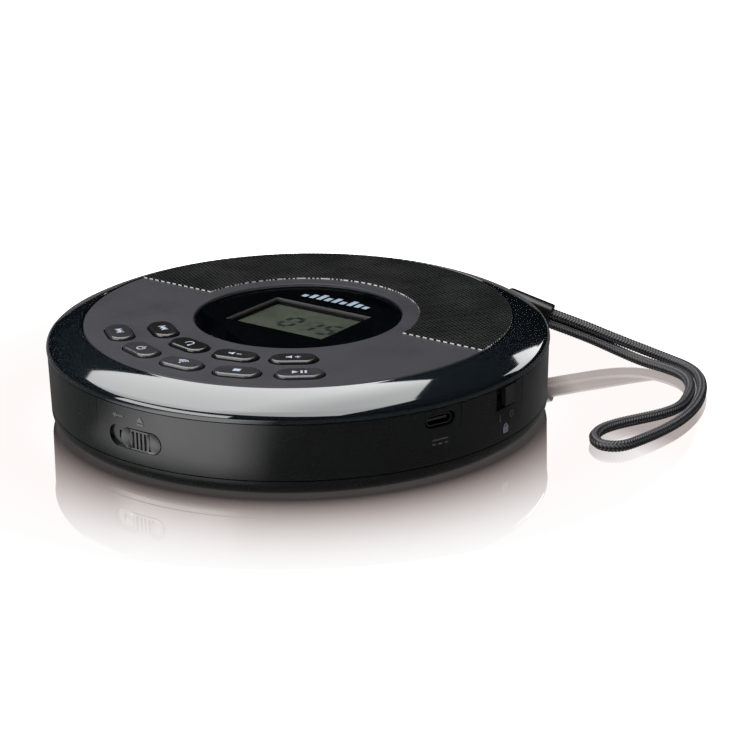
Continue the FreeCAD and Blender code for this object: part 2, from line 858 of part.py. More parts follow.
def make_deck():
    """Deck plate above the disc, with the slot that the pickup looks through."""
    body = new_body("disc_deck")
    sketch = sketch_on(body, height=S.deck_z)
    draw_circle(sketch, S.deck_r)
    pad(body, sketch, S.deck_t)
    sketch = sketch_on(body, height=S.deck_z)
    draw_circle(sketch, 3.0)
    pocket(body, sketch, S.deck_t)
    sketch = sketch_on(body, height=S.deck_z)
    draw_pill(sketch, 46.5, 12.0, -41.6, 0)
    pocket(body, sketch, S.deck_t)
    sketch = sketch_on(body, height=S.deck_z)
    draw_box(sketch, 26, 12, 0, -S.deck_r + 1)
    pocket(body, sketch, S.deck_t)
    sketch = sketch_on(body, height=S.deck_z)
    draw_box(sketch, S.notch_w + 1, 12, 0, S.deck_r + 2.5)
    pocket(body, sketch, S.deck_t)
    for turn in POST_TURNS:
        angle = math.radians(turn)
        x = S.post_ring_r * math.sin(angle)
        y = -S.post_ring_r * math.cos(angle)
        sketch = sketch_on(body, height=S.deck_z)
        draw_circle(sketch, S.screw_r + 0.2, x, y)
        pocket(body, sketch, S.deck_t)
    keep(body, "disc_deck")

    screws = []
    for turn in POST_TURNS:
        shank = cylinder(S.screw_r, 6.0, 0, -S.post_ring_r, S.deck_z)
        head = cylinder(1.9, 0.9, 0, -S.post_ring_r, S.deck_z - 0.9)
        cross = box(-1.1, -S.post_ring_r - 0.2, S.deck_z - 1, 2.2, 0.4, 0.6)
        screws.append(turned(cut(fuse(shank, head), cross), turn))
    keep(group(*screws), "deck_screws")


def make_board_and_cell():
    """Main board, its screws, and the flat rechargeable cell."""
    body = new_body("main_board")
    sketch = sketch_on(body, height=S.board_z)
    draw_circle(sketch, S.board_r)
    pad(body, sketch, S.board_t)
    sketch = sketch_on(body, height=S.board_z)
    draw_box(sketch, S.case_r * 2, S.case_r, 0, S.board_back_y + S.case_r / 2)
    pocket(body, sketch, S.board_t)
    for turn in POST_TURNS[:2]:
        angle = math.radians(turn)
        x = S.post_ring_r * math.sin(angle)
        y = -S.post_ring_r * math.cos(angle)
        sketch = sketch_on(body, height=S.board_z)
        draw_circle(sketch, S.screw_r + 0.2, x, y)
        pocket(body, sketch, S.board_t)
    keep(body, "main_board")

    screws = []
    for turn in POST_TURNS[:2]:
        board_top = S.board_z + S.board_t
        shank = cylinder(S.screw_r, 5.0, 0, -S.post_ring_r, board_top - 5)
        head = cylinder(1.7, 0.8, 0, -S.post_ring_r, board_top)
        screws.append(turned(fuse(shank, head), turn))
    keep(group(*screws), "board_screws")

    body = new_body("battery_cell")
    low = S.deck_z + S.deck_t + 0.4
    sketch = sketch_on(body, height=low)
    draw_box(sketch, S.cell_l, S.cell_d, 0, -51.5)
    pad(body, sketch, S.cell_t)
    soften(body, "Fillet", 1.2, is_upright)
    keep(body, "battery_cell")


def make_speakers():
    """Two loudspeakers under the grille: basket, magnet and cone."""
    rim_top = S.panel_z - S.panel_t - 1.5
    for name, side in (("left", -1), ("right", 1)):
        x = side * S.speaker_x
        basket = new_body("speaker_basket_" + name)
        sketch = sketch_on(basket, "XZ_Plane")
        corners = [
            (S.speaker_r - 2.0, rim_top),
            (S.speaker_r, rim_top),
            (S.speaker_r, rim_top - 1.0),
            (S.speaker_r - 1.8, rim_top - 1.4),
            (8.4, 21.2),
            (3.2, 21.2),
            (3.2, 22.2),
            (7.6, 22.2),
        ]
        draw_outline(sketch, corners)
        revolve(basket, sketch)
        keep(at(basket, x, S.speaker_y), "speaker_basket_" + name)
        keep(cylinder(9.0, 4.2, x, S.speaker_y, 17.0), "speaker_magnet_" + name)
        dish = new_body("speaker_cone_" + name)
        sketch = sketch_on(dish, "XZ_Plane")
        corners = [
            (0, 25.2),
            (3.0, 24.4),
            (9.4, 26.6),
            (10.9, rim_top + 0.35),
            (S.speaker_r - 1.2, rim_top + 0.25),
            (S.speaker_r - 1.2, rim_top),
            (11.2, rim_top),
            (9.6, 26.2),
            (2.8, 24.0),
            (0, 24.0),
        ]
        draw_outline(sketch, corners)
        revolve(dish, sketch)
        keep(at(dish, x, S.speaker_y), "speaker_cone_" + name)


def make_disc_drive():
    """Spindle motor, platter with its hub and clamp balls, and the spindle."""
    deck_top = S.deck_z + S.deck_t
    can = cylinder(S.motor_r, S.motor_h, 0, 0, deck_top)
    bore = cylinder(S.spindle_r + S.running, S.motor_h + 2, 0, 0, deck_top - 1)
    keep(cut(can, bore), "spindle_motor")

    body = new_body("platter_form")
    sketch = sketch_on(body, "XZ_Plane")
    hub_low = S.platter_z - 2.4
    corners = [
        (S.spindle_r, S.platter_z + 1.2),
        (S.platter_r, S.platter_z + 1.2),
        (S.platter_r, S.platter_z),
        (S.hub_r, S.platter_z),
        (S.hub_r, hub_low + 1.2),
        (S.hub_r - 1.2, hub_low),
        (S.spindle_r, hub_low),
    ]
    draw_outline(sketch, corners)
    revolve(body, sketch)
    sockets = []
    balls = []
    for turn in (0, 120, 240):
        sockets.append(turned(ball(1.05, 0, -S.hub_r + 0.6, S.platter_z - 1.1), turn))
        balls.append(turned(ball(1.0, 0, -S.hub_r + 0.6, S.platter_z - 1.1), turn))
    keep(cut(body, *sockets), "disc_platter")
    keep(group(*balls), "clamp_balls")
    keep(cylinder(S.spindle_r, 9.2, 0, 0, hub_low + 0.4), "spindle")


RACK_TOOTH_T = (math.pi * S.module.value - 0.1) / 2


def make_pickup():
    """Pickup sled on its two rods, the objective in its holder, and the rack."""
    rod_start, rod_end = -70.6, -14.6
    length = rod_end - rod_start
    rods = []
    bores = []
    clips = []
    deck_top = S.deck_z + S.deck_t
    for side in (-1, 1):
        y = side * S.rod_y
        rods.append(bar(S.rod_r, length, (rod_start + rod_end) / 2, y, S.rod_z))
        bores.append(bar(S.rod_r + S.running, 60, -30, y, S.rod_z))
        for x in (rod_start, rod_end - 1.8):
            clip = box(x, y - 1.6, deck_top, 1.8, 3.2, S.rod_z + 1.6 - deck_top)
            clips.append(cut(clip, bar(S.rod_r, 60, x, y, S.rod_z)))
    keep(group(*rods), "guide_rods")
    keep(group(*clips), "rod_clips")

    sled_low = deck_top + 0.4
    block = box(
        S.lens_home_x - 11, -S.sled_half_w, sled_low, 16.5, 2 * S.sled_half_w, S.sled_top_z - sled_low
    )
    eye = cylinder(S.pickup_r + 0.4, 10, S.lens_home_x, 0, sled_low - 1)
    keep(cut(block, eye, *bores), "pickup_sled")

    body = new_body("lens_holder")
    sketch = sketch_on(body, "XZ_Plane")
    low = S.platter_z + 1.8
    corners = [
        (2.3, low + 3.6),
        (S.pickup_r, low + 3.6),
        (S.pickup_r, low + 0.5),
        (S.pickup_r - 0.5, low),
        (2.9, low),
        (2.3, low + 0.6),
    ]
    draw_outline(sketch, corners)
    revolve(body, sketch)
    keep(at(body, S.lens_home_x), "lens_holder")
    lens = common(
        ball(4.2, S.lens_home_x, 0, low + 4.3), cylinder(2.3, 2.4, S.lens_home_x, 0, low)
    )
    keep(lens, "objective_lens")
    keep(shaped("sled_rack", rack_shape()), "sled_rack")


def rack_shape():
    """A straight bar with teeth towards -Y. One tooth is centred on the gear's axis."""
    pitch = math.pi * S.module.value
    tip = 0.9 * S.module.value
    root = 1.15 * S.module.value
    slope = math.tan(math.radians(20))
    line_y = S.rack_pitch_y.value
    right = 3.0
    left = S.lens_home_x.value - 11
    back = -S.sled_half_w.value
    first = math.ceil((left + 0.9 - S.gear_x.value) / pitch)
    last = math.floor((right - 0.9 - S.gear_x.value) / pitch)
    points = [(left, back), (left, line_y + root)]
    for index in range(first, last + 1):
        x = S.gear_x.value + index * pitch
        low_half = RACK_TOOTH_T / 2 + root * slope
        tip_half = RACK_TOOTH_T / 2 - tip * slope
        points += [(x - low_half, line_y + root), (x - tip_half, line_y - tip)]
        points += [(x + tip_half, line_y - tip), (x + low_half, line_y + root)]
    points += [(right, line_y + root), (right, back)]
    corners = [FreeCAD.Vector(x, y, 12.0) for x, y in points]
    face = Part.Face(Part.makePolygon(corners + corners[:1]))
    return face.extrude(FreeCAD.Vector(0, 0, 2.0))


def gear_shape(teeth, low, thickness, turn, bore_r):
    """A spur gear with involute flanks, one tooth centred on the angle turn."""
    module = S.module.value
    pitch_r = teeth * module / 2
    base_r = pitch_r * math.cos(math.radians(20))
    tip_r = pitch_r + 0.9 * module
    root_r = pitch_r - 1.15 * module
    start_r = max(base_r, root_r + 0.02)
    half_at_pitch = (math.pi * module / 2 - 0.05) / 2 / pitch_r

    def inv(angle):
        return math.tan(angle) - angle

    def flank(radius, centre, side):
        pressure = math.acos(min(1.0, base_r / radius))
        half = half_at_pitch + inv(math.radians(20)) - inv(pressure)
        angle = centre + side * half
        return FreeCAD.Vector(radius * math.cos(angle), radius * math.sin(angle), 0)

    def shrunk(point, radius):
        return FreeCAD.Vector(point).normalize() * radius

    def side_arc(first, last, radius):
        return Part.Arc(first, shrunk(first + last, radius), last).toShape()

    edges = []
    step = 2 * math.pi / teeth
    mid_r = (start_r + tip_r) / 2
    for index in range(int(teeth)):
        centre = math.radians(turn) + index * step
        low_in, mid_in, tip_in = (flank(r, centre, -1) for r in (start_r, mid_r, tip_r))
        low_out, mid_out, tip_out = (flank(r, centre, 1) for r in (start_r, mid_r, tip_r))
        edges.append(Part.LineSegment(shrunk(low_in, root_r), low_in).toShape())
        edges.append(Part.Arc(low_in, mid_in, tip_in).toShape())
        edges.append(side_arc(tip_in, tip_out, tip_r))
        edges.append(Part.Arc(tip_out, mid_out, low_out).toShape())
        edges.append(Part.LineSegment(low_out, shrunk(low_out, root_r)).toShape())
        following = shrunk(flank(start_r, centre + step, -1), root_r)
        edges.append(side_arc(shrunk(low_out, root_r), following, root_r))
    face = Part.Face(Part.Wire(edges))
    solid = face.extrude(FreeCAD.Vector(0, 0, thickness))
    solid.translate(FreeCAD.Vector(0, 0, low))
    bore = Part.makeCylinder(bore_r, thickness + 2, FreeCAD.Vector(0, 0, low - 1))
    return solid.cut(bore)


PINION_SIDE = 234.0  # the way from the wheel's axis to the pinion's, a multiple of its tooth step


def make_gear_train():
    """Two-step gear on its axle, and the sled motor with its pinion."""
    slow_r = S.slow_teeth * S.module / 2
    gear_y = S.rack_pitch_y - slow_r - S.mesh_play
    axle_bore = (S.axle_r + S.running).value
    slow = gear_shape(S.slow_teeth.value, 11.6, 3.6, 0, axle_bore)
    wheel = gear_shape(S.wheel_teeth.value, 15.1, 1.4, 0, axle_bore)
    place = FreeCAD.Vector(S.gear_x.value, gear_y.value, 0)
    keep(shaped("drive_gear", slow.fuse(wheel), FreeCAD.Placement(place, FreeCAD.Rotation())), "drive_gear")
    deck_top = S.deck_z + S.deck_t
    keep(cylinder(S.axle_r, 6.4, S.gear_x, gear_y, deck_top), "gear_axle")

    spread = (S.wheel_teeth + S.pinion_teeth) * S.module / 2 + S.mesh_play
    x = S.gear_x + spread * math.cos(math.radians(PINION_SIDE))
    y = gear_y + spread * math.sin(math.radians(PINION_SIDE))
    turn = PINION_SIDE - 180 - 180 / S.pinion_teeth.value
    pinion = gear_shape(S.pinion_teeth.value, 15.0, 1.7, turn, 0.75)
    place = FreeCAD.Vector(x.value, y.value, 0)
    keep(shaped("motor_pinion", pinion, FreeCAD.Placement(place, FreeCAD.Rotation())), "motor_pinion")
    keep(cylinder(0.75, 4.8, x, y, 12.0), "pinion_shaft")
    can = cut(cylinder(6.0, 3.7, x, y, deck_top), cylinder(0.75 + S.running, 4, x, y, 11.8))
    keep(can, "sled_motor")


# ---------------------------------------------------------------- wrist strap


def rounded_path(points):
    """Straight runs joined by tangent arcs, each as large as its two runs allow. Gives
    the wire and its radii."""
    count = len(points)
    edges = []
    radii = []
    last = points[0]
    for index in range(1, count - 1):
        back = points[index - 1] - points[index]
        ahead = points[index + 1] - points[index]
        shorter = min(back.Length, ahead.Length)
        back_way = FreeCAD.Vector(back).normalize()
        ahead_way = FreeCAD.Vector(ahead).normalize()
        turn = math.pi - back_way.getAngle(ahead_way)
        reach = 0.45 * shorter
        radius = reach / math.tan(turn / 2)
        radii.append(radius)
        start = points[index] + back_way * reach
        end = points[index] + ahead_way * reach
        middle_way = (back_way + ahead_way).normalize()
        middle = points[index] + middle_way * (radius / math.cos(turn / 2) - radius)
        edges.append(Part.LineSegment(last, start).toShape())
        edges.append(Part.Arc(start, middle, end).toShape())
        last = end
    edges.append(Part.LineSegment(last, points[-1]).toShape())
    return Part.Wire(edges), radii


def tube(path, diameter):
    """A round tube along a wire, with flat ends."""
    start = path.Edges[0].valueAt(path.Edges[0].FirstParameter)
    way = path.Edges[0].tangentAt(path.Edges[0].FirstParameter)
    section = Part.Wire(Part.Circle(start, way, diameter / 2).toShape())
    made = path.makePipeShell([section], True, True)
    expected = math.pi * diameter**2 / 4 * path.Length
    print("tube length %.1f mm, volume %.1f of %.1f mm3" % (path.Length, made.Volume, expected))
    return made


# The braided cord: out of the ferrule's upper eye, down to the surface, round in a
# narrow loop beside the case and back up into the lower eye.
STRAP_ROUTE = (
    (38.8, 86.6, 14.7),
    (50.2, 90.3, 11.3),
    (61.5, 92.9, 7.9),
    (71.0, 95.6, 5.0),
    (80.0, 97.4, 2.6),
    (87.8, 96.6, 1.75),
    (94.8, 91.4, 1.75),
    (100.6, 82.8, 1.75),
    (105.0, 73.4, 1.75),
    (108.2, 62.6, 1.75),
    (109.8, 50.6, 1.75),
    (109.2, 39.6, 1.75),
    (107.6, 29.6, 1.75),
    (105.4, 21.0, 1.75),
    (99.6, 18.6, 1.75),
    (94.8, 22.4, 1.75),
    (92.8, 29.2, 1.75),
    (94.2, 36.2, 1.75),
    (98.0, 44.2, 1.75),
    (102.2, 52.4, 1.75),
    (104.2, 61.0, 1.75),
    (101.8, 71.0, 1.75),
    (98.0, 80.4, 1.75),
    (91.6, 88.2, 1.75),
    (82.8, 91.4, 1.75),
    (73.6, 92.2, 1.9),
    (63.0, 92.4, 3.8),
    (51.4, 90.8, 7.0),
    (37.5, 86.2, 11.2),
)

FERRULE_NEAR = FreeCAD.Vector(24.5, 82.0, 17.4)
FERRULE_WAY = FreeCAD.Vector(15.5, 5.0, -5.3).normalize()


def make_strap():
    """Strap post, the thin string round it, the ferrule, and the braided cord."""
    post = cylinder(S.post_pin_r, 7.6, 0, -S.slot_floor, 13.4)
    keep(turned(post, S.strap_turn), "strap_post")

    across = UP.cross(FERRULE_WAY).normalize()
    rising = FERRULE_WAY.cross(across).normalize()
    body = new_body("strap_ferrule")
    sketch = sketch_on(body)
    draw_box(sketch, S.ferrule_h, S.ferrule_t)
    pad(body, sketch, S.ferrule_l)
    soften(body, "Fillet", 1.6, lambda edge: edge.BoundBox.ZLength > 1)
    soften(body, "Fillet", 0.8, lambda edge: edge.BoundBox.ZLength < 1e-4)
    body.Placement = FreeCAD.Placement(
        FERRULE_NEAR, FreeCAD.Rotation(rising, across, FERRULE_WAY, "ZXY")
    )
    keep(body, "strap_ferrule")

    points = [FreeCAD.Vector(*point) for point in STRAP_ROUTE]
    path, radii = rounded_path(points)
    print("strap cord radii", " ".join("%.0f" % radius for radius in radii))
    keep(shaped("strap_cord", tube(path, S.strap_d.value)), "strap_cord")

    angle = math.radians(S.strap_turn.value)
    radius = S.slot_floor.value
    pin = FreeCAD.Vector(radius * math.sin(angle), -radius * math.cos(angle), S.string_z.value)
    away = FERRULE_NEAR - pin
    away.z = 0
    away.normalize()
    side = UP.cross(away) * (S.post_pin_r + S.string_d / 2 + 0.15).value
    into = away * ((FERRULE_NEAR - pin).dot(away) + 1.6)
    round_pin = pin - away * side.Length
    edges = [
        Part.LineSegment(pin + side + into, pin + side).toShape(),
        Part.Arc(pin + side, round_pin, pin - side).toShape(),
        Part.LineSegment(pin - side, pin - side + into).toShape(),
    ]
    keep(shaped("strap_string", tube(Part.Wire(edges), S.string_d.value)), "strap_string")


# ---------------------------------------------------------------- build


def main():
    make_top_ring()
    make_top_panel()
    make_grille()
    make_display()
    make_housing_band()
    make_disc_door()
    make_buttons()
    make_open_slider()
    make_hold_switch()
    make_sockets()
    make_deck()
    make_board_and_cell()
    make_speakers()
    make_disc_drive()
    make_pickup()
    make_gear_train()
    make_strap()
    DOC.recompute()
    for obj in DOC.Objects:
        assert not {"Invalid", "Error"} & set(obj.State), "%s failed: %s" % (obj.Name, obj.State)
    for obj in KEPT:
        assert not obj.Shape.isNull() and obj.Shape.isValid(), obj.Label
    os.makedirs(OUT, exist_ok=True)
    for obj in KEPT:
        obj.Shape.exportStep(os.path.join(OUT, obj.Label + ".step"))
    print("%d parts written" % len(KEPT))


main()
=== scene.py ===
"""Looks of a round portable disc player: fine meshes, materials, the wrist strap, studio."""

import math

import bmesh
import bpy
from mathutils import Matrix, Vector


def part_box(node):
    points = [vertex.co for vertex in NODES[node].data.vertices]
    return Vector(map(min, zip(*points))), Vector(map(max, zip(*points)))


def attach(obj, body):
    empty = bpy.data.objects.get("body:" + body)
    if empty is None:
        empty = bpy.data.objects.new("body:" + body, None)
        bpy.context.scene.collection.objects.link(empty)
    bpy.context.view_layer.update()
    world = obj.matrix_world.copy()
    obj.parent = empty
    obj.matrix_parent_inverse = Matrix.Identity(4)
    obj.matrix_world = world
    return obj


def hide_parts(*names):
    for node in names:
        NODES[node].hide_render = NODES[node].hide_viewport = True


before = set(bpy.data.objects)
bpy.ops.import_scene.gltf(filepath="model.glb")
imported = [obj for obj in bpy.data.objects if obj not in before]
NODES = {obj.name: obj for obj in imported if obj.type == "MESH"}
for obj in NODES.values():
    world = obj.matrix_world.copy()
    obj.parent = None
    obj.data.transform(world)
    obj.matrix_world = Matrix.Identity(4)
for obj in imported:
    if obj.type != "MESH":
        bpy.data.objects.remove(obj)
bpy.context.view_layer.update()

MM = 0.001
CASE_TURN = 38.0  # degrees from the camera's line of sight to the case's own front


def turn_matrix(degrees):
    return Matrix.Rotation(math.radians(degrees), 4, "Z")


# ------------------------------------------------------------------ camera


def make_camera():
    """A long lens, about 20 degrees above the floor, off the case's front right."""
    distance, height = 0.63536, 0.23615  # metres
    heading, dip, roll = 0.03755, -0.34275, -0.01172  # radians
    ahead = Vector(
        (math.sin(heading) * math.cos(dip), math.cos(heading) * math.cos(dip), math.sin(dip))
    )
    right = Vector((math.cos(heading), -math.sin(heading), 0))
    above = right.cross(ahead)
    level = Matrix((right, above, -ahead)).transposed()
    data = bpy.data.cameras.new("camera")
    data.sensor_width = 36.0
    data.lens = 101.77
    data.clip_start, data.clip_end = 0.05, 30.0
    camera = bpy.data.objects.new("camera", data)
    bpy.context.scene.collection.objects.link(camera)
    place = Matrix.Translation((0, -distance, height)) @ level.to_4x4()
    camera.matrix_world = turn_matrix(CASE_TURN) @ place @ Matrix.Rotation(roll, 4, "Z")
    bpy.context.scene.camera = camera


make_camera()


# ------------------------------------------------------------------ mesh tools


def new_piece(name, mesh, body, material, node=None):
    """Put a mesh into the scene: it rides on a body, and may stand for a CAD node."""
    piece = bpy.data.objects.new(name, mesh)
    bpy.context.scene.collection.objects.link(piece)
    mesh.materials.append(material)
    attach(piece, body)
    if node:
        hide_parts(node)
    return piece


def mesh_from(name, points, faces, smooth=False):
    """A closed mesh from points in millimetres."""
    mesh = bpy.data.meshes.new(name)
    mesh.from_pydata([Vector(p) * MM for p in points], [], faces)
    work = bmesh.new()
    work.from_mesh(mesh)
    bmesh.ops.recalc_face_normals(work, faces=work.faces)
    work.to_mesh(mesh)
    work.free()
    mesh.polygons.foreach_set("use_smooth", [smooth] * len(mesh.polygons))
    return mesh


def sharpen(mesh, degrees):
    """Smooth shading, except over edges sharper than degrees."""
    mesh.polygons.foreach_set("use_smooth", [True] * len(mesh.polygons))
    mesh.set_sharp_from_angle(angle=math.radians(degrees))


def arc_points(start, end, radius, count):
    """Points from start to end on an arc whose centre lies right of the way there."""
    start, end = Vector(start), Vector(end)
    chord = end - start
    to_right = Vector((chord.y, -chord.x)).normalized()
    centre = (start + end) / 2 + to_right * math.sqrt(radius**2 - (chord.length / 2) ** 2)
    first = math.atan2(*(start - centre).yx)
    last = math.atan2(*(end - centre).yx)
    angles = [first + (last - first) * i / count for i in range(count + 1)]
    return [(centre.x + radius * math.cos(a), centre.y + radius * math.sin(a)) for a in angles]


def revolved(name, profile, count=288):
    """A closed profile of (radius, height) turned once round the case's axis."""
    points = []
    for step in range(count):
        angle = 2 * math.pi * step / count
        points += [(r * math.cos(angle), r * math.sin(angle), z) for r, z in profile]
    size = len(profile)
    faces = []
    for step in range(count):
        here, there = step * size, (step + 1) % count * size
        for i in range(size):
            j = (i + 1) % size
            faces.append((here + i, there + i, there + j, here + j))
    return mesh_from(name, points, faces)


def between_rings(rings, size):
    """The faces that join each ring of points to the next one."""
    faces = []
    for ring in range(rings - 1):
        here, there = ring * size, (ring + 1) * size
        for k in range(size):
            j = (k + 1) % size
            faces.append((here + k, here + j, there + j, there + k))
    return faces


def ring_points(x, y, radius, count):
    turns = [2 * math.pi * k / count for k in range(count)]
    return [(x + radius * math.cos(a), y + radius * math.sin(a)) for a in turns]


def solid_from_flats(name, flats, low, high, place=None):
    """One mesh of upright prisms: each flat is a convex outline of (x, y) points."""
    points = []
    faces = []
    for flat in flats:
        base, count = len(points), len(flat)
        points += [(x, y, low) for x, y in flat] + [(x, y, high) for x, y in flat]
        faces.append([base + i for i in reversed(range(count))])
        faces.append([base + count + i for i in range(count)])
        for i in range(count):
            j = (i + 1) % count
            faces.append((base + i, base + j, base + count + j, base + count + i))
    mesh = mesh_from(name, points, faces)
    if place:
        mesh.transform(place)
    return mesh


# ------------------------------------------------------------------ flat symbols


def rect(x, y, width, height):
    """A rectangle about its middle."""
    w, h = width / 2, height / 2
    return [(x - w, y - h), (x + w, y - h), (x + w, y + h), (x - w, y + h)]


def triangle(x, y, width, height, way):
    """A triangle that points along +X (way 1) or -X (way -1)."""
    foot, tip = x - way * width / 2, x + way * width / 2
    return [(foot, y - height / 2), (tip, y), (foot, y + height / 2)]


def arc_band(x, y, radius, width, first, last, count=12):
    """Short quads along an arc, in degrees from +X."""
    quads = []
    inner, outer = radius - width / 2, radius + width / 2
    for i in range(count):
        a, b = (math.radians(first + (last - first) * k / count) for k in (i, i + 1))
        quads.append(
            [
                (x + inner * math.cos(a), y + inner * math.sin(a)),
                (x + outer * math.cos(a), y + outer * math.sin(a)),
                (x + outer * math.cos(b), y + outer * math.sin(b)),
                (x + inner * math.cos(b), y + inner * math.sin(b)),
            ]
        )
    return quads


def speaker_sign(x):
    """A small loudspeaker seen from the side."""
    horn = [(x - 0.4, -0.35), (x + 0.7, -1.0), (x + 0.7, 1.0), (x - 0.4, 0.35)]
    return [rect(x - 0.75, 0, 0.7, 0.7), horn]


# The sign on each key, in millimetres about the key's middle.
SIGNS = {
    "previous_button": [
        rect(-1.6, 0, 0.45, 2.3),
        triangle(-0.55, 0, 1.6, 2.3, -1),
        triangle(1.05, 0, 1.6, 2.3, -1),
    ],
    "next_button": [
        triangle(-1.05, 0, 1.6, 2.3, 1),
        triangle(0.55, 0, 1.6, 2.3, 1),
        rect(1.6, 0, 0.45, 2.3),
    ],
    "repeat_button": arc_band(0, 0, 1.35, 0.38, -60, 210, 20) + [triangle(1.05, -1.35, 1.1, 1.4, -1)],
    "volume_down_button": speaker_sign(-1.2) + [rect(1.2, 0, 1.7, 0.42)],
    "volume_up_button": speaker_sign(-1.2) + [rect(1.2, 0, 1.7, 0.42), rect(1.2, 0, 0.42, 1.7)],
    "power_button": arc_band(0, -0.1, 1.25, 0.38, 125, 415, 20) + [rect(0, 0.95, 0.4, 1.5)],
    "wireless_button": [rect(0, -1.0, 0.6, 0.6)]
    + arc_band(0, -1.0, 1.1, 0.36, 45, 135)
    + arc_band(0, -1.0, 1.85, 0.36, 45, 135)
    + arc_band(0, -1.0, 2.6, 0.36, 45, 135),
    "stop_button": [rect(0, 0, 2.2, 1.9)],
    "play_button": [triangle(-1.3, 0, 1.9, 2.3, 1), rect(0.55, 0, 0.65, 2.2), rect(1.75, 0, 0.65, 2.2)],
}

INNER_KEYS = ("previous_button", "repeat_button", "volume_down_button", "volume_up_button")
KEYS = {key: "inner" if key in INNER_KEYS else "outer" for key in SIGNS}


# ------------------------------------------------------------------ materials


def set_inputs(shader, values):
    for name, value in values.items():
        shader.inputs[name].default_value = value


def mixed(tree, factor, first, second, blend="MIX"):
    """A colour mix; each colour is a socket or a plain colour."""
    made = tree.nodes.new("ShaderNodeMix")
    made.data_type = "RGBA"
    made.blend_type = blend
    for name, value in (("Factor", factor), ("A", first), ("B", second)):
        socket = made.inputs[name]
        if isinstance(value, bpy.types.NodeSocket):
            tree.links.new(value, socket)
        else:
            socket.default_value = value
    return made.outputs["Result"]


def reckon(tree, operation, *values):
    """A Math node; each value is a socket or a number."""
    made = tree.nodes.new("ShaderNodeMath")
    made.operation = operation
    for socket, value in zip(made.inputs, values):
        if isinstance(value, bpy.types.NodeSocket):
            tree.links.new(value, socket)
        else:
            socket.default_value = value
    return made.outputs[0]


def grained(name, colour, rough, *, spread=0.12, rough_spread=0.06, grain=2200, bump=0.02,
            smudge=60, metal=0.0, specular=0.5, **more):
    """A principled surface with uneven colour and gloss and a fine grain in its relief."""
    material = bpy.data.materials.new(name)
    material.use_nodes = True
    tree = material.node_tree
    shader = tree.nodes["Principled BSDF"]
    set_inputs(shader, {"Metallic": metal, "Specular IOR Level": specular, **more})
    place = tree.nodes.new("ShaderNodeTexCoord")

    def noise(scale, detail):
        made = tree.nodes.new("ShaderNodeTexNoise")
        made.inputs["Scale"].default_value = scale
        made.inputs["Detail"].default_value = detail
        tree.links.new(place.outputs["Object"], made.inputs["Vector"])
        return made.outputs["Fac"]

    fine = noise(grain, 3.0)
    broad = noise(smudge, 4.0)
    ramp = tree.nodes.new("ShaderNodeValToRGB")
    ramp.color_ramp.elements[0].position = 0.3
    ramp.color_ramp.elements[1].position = 0.7
    ramp.color_ramp.elements[0].color = (*[c * (1 - spread) for c in colour], 1)
    ramp.color_ramp.elements[1].color = (*[min(1, c * (1 + spread)) for c in colour], 1)
    uneven = reckon(tree, "MULTIPLY_ADD", fine, 0.5, reckon(tree, "MULTIPLY", broad, 0.5))
    tree.links.new(uneven, ramp.inputs["Fac"])
    tree.links.new(ramp.outputs["Color"], shader.inputs["Base Color"])
    gloss = tree.nodes.new("ShaderNodeMapRange")
    set_inputs(gloss, {"From Min": 0.3, "From Max": 0.7})
    gloss.inputs["To Min"].default_value = max(0.02, rough - rough_spread)
    gloss.inputs["To Max"].default_value = min(1.0, rough + rough_spread)
    tree.links.new(broad, gloss.inputs["Value"])
    tree.links.new(gloss.outputs["Result"], shader.inputs["Roughness"])
    if bump:
        relief = tree.nodes.new("ShaderNodeBump")
        relief.inputs["Strength"].default_value = 1.0
        relief.inputs["Distance"].default_value = bump * MM
        tree.links.new(fine, relief.inputs["Height"])
        tree.links.new(relief.outputs["Normal"], shader.inputs["Normal"])
    return material


def clear_window(name):
    """A thin clear cover: seen through, with a gloss that grows at a slant."""
    material = bpy.data.materials.new(name)
    material.use_nodes = True
    tree = material.node_tree
    tree.nodes.remove(tree.nodes["Principled BSDF"])
    out = tree.nodes["Material Output"]
    clear = tree.nodes.new("ShaderNodeBsdfTransparent")
    clear.inputs["Color"].default_value = (0.93, 0.94, 0.94, 1)
    gloss = tree.nodes.new("ShaderNodeBsdfGlossy")
    place = tree.nodes.new("ShaderNodeTexCoord")
    smear = tree.nodes.new("ShaderNodeTexNoise")
    set_inputs(smear, {"Scale": 90.0, "Detail": 5.0})
    tree.links.new(place.outputs["Object"], smear.inputs["Vector"])
    rough = tree.nodes.new("ShaderNodeMapRange")
    set_inputs(rough, {"From Min": 0.35, "From Max": 0.75, "To Min": 0.02, "To Max": 0.05})
    tree.links.new(smear.outputs["Fac"], rough.inputs["Value"])
    tree.links.new(rough.outputs["Result"], gloss.inputs["Roughness"])
    fresnel = tree.nodes.new("ShaderNodeFresnel")
    fresnel.inputs["IOR"].default_value = 1.45
    surface = tree.nodes.new("ShaderNodeNewGeometry")
    front = reckon(tree, "SUBTRACT", 1.0, surface.outputs["Backfacing"])
    outward = reckon(tree, "MULTIPLY", fresnel.outputs["Fac"], front)
    mix = tree.nodes.new("ShaderNodeMixShader")
    tree.links.new(outward, mix.inputs["Fac"])
    tree.links.new(clear.outputs["BSDF"], mix.inputs[1])
    tree.links.new(gloss.outputs["BSDF"], mix.inputs[2])
    tree.links.new(mix.outputs["Shader"], out.inputs["Surface"])
    return material


def shade_braid_hollows(material):
    """Paint shade into the hollows of a braid, by the crest that its mesh gives each point: the hollows go
    near black.
    """
    tree = material.node_tree
    shader = tree.nodes["Principled BSDF"]
    colour = shader.inputs["Base Color"].links[0].from_socket
    crest = tree.nodes.new("ShaderNodeAttribute")
    crest.attribute_name = "crest"
    # Painted shade: the hollows between the yarns are near black, and the crests keep the yarn's colour.
    hollow_shade = (0.0015, 0.0015, 0.0018, 1)
    blend = mixed(tree, crest.outputs["Fac"], hollow_shade, colour)
    tree.links.new(blend, shader.inputs["Base Color"])
    return material


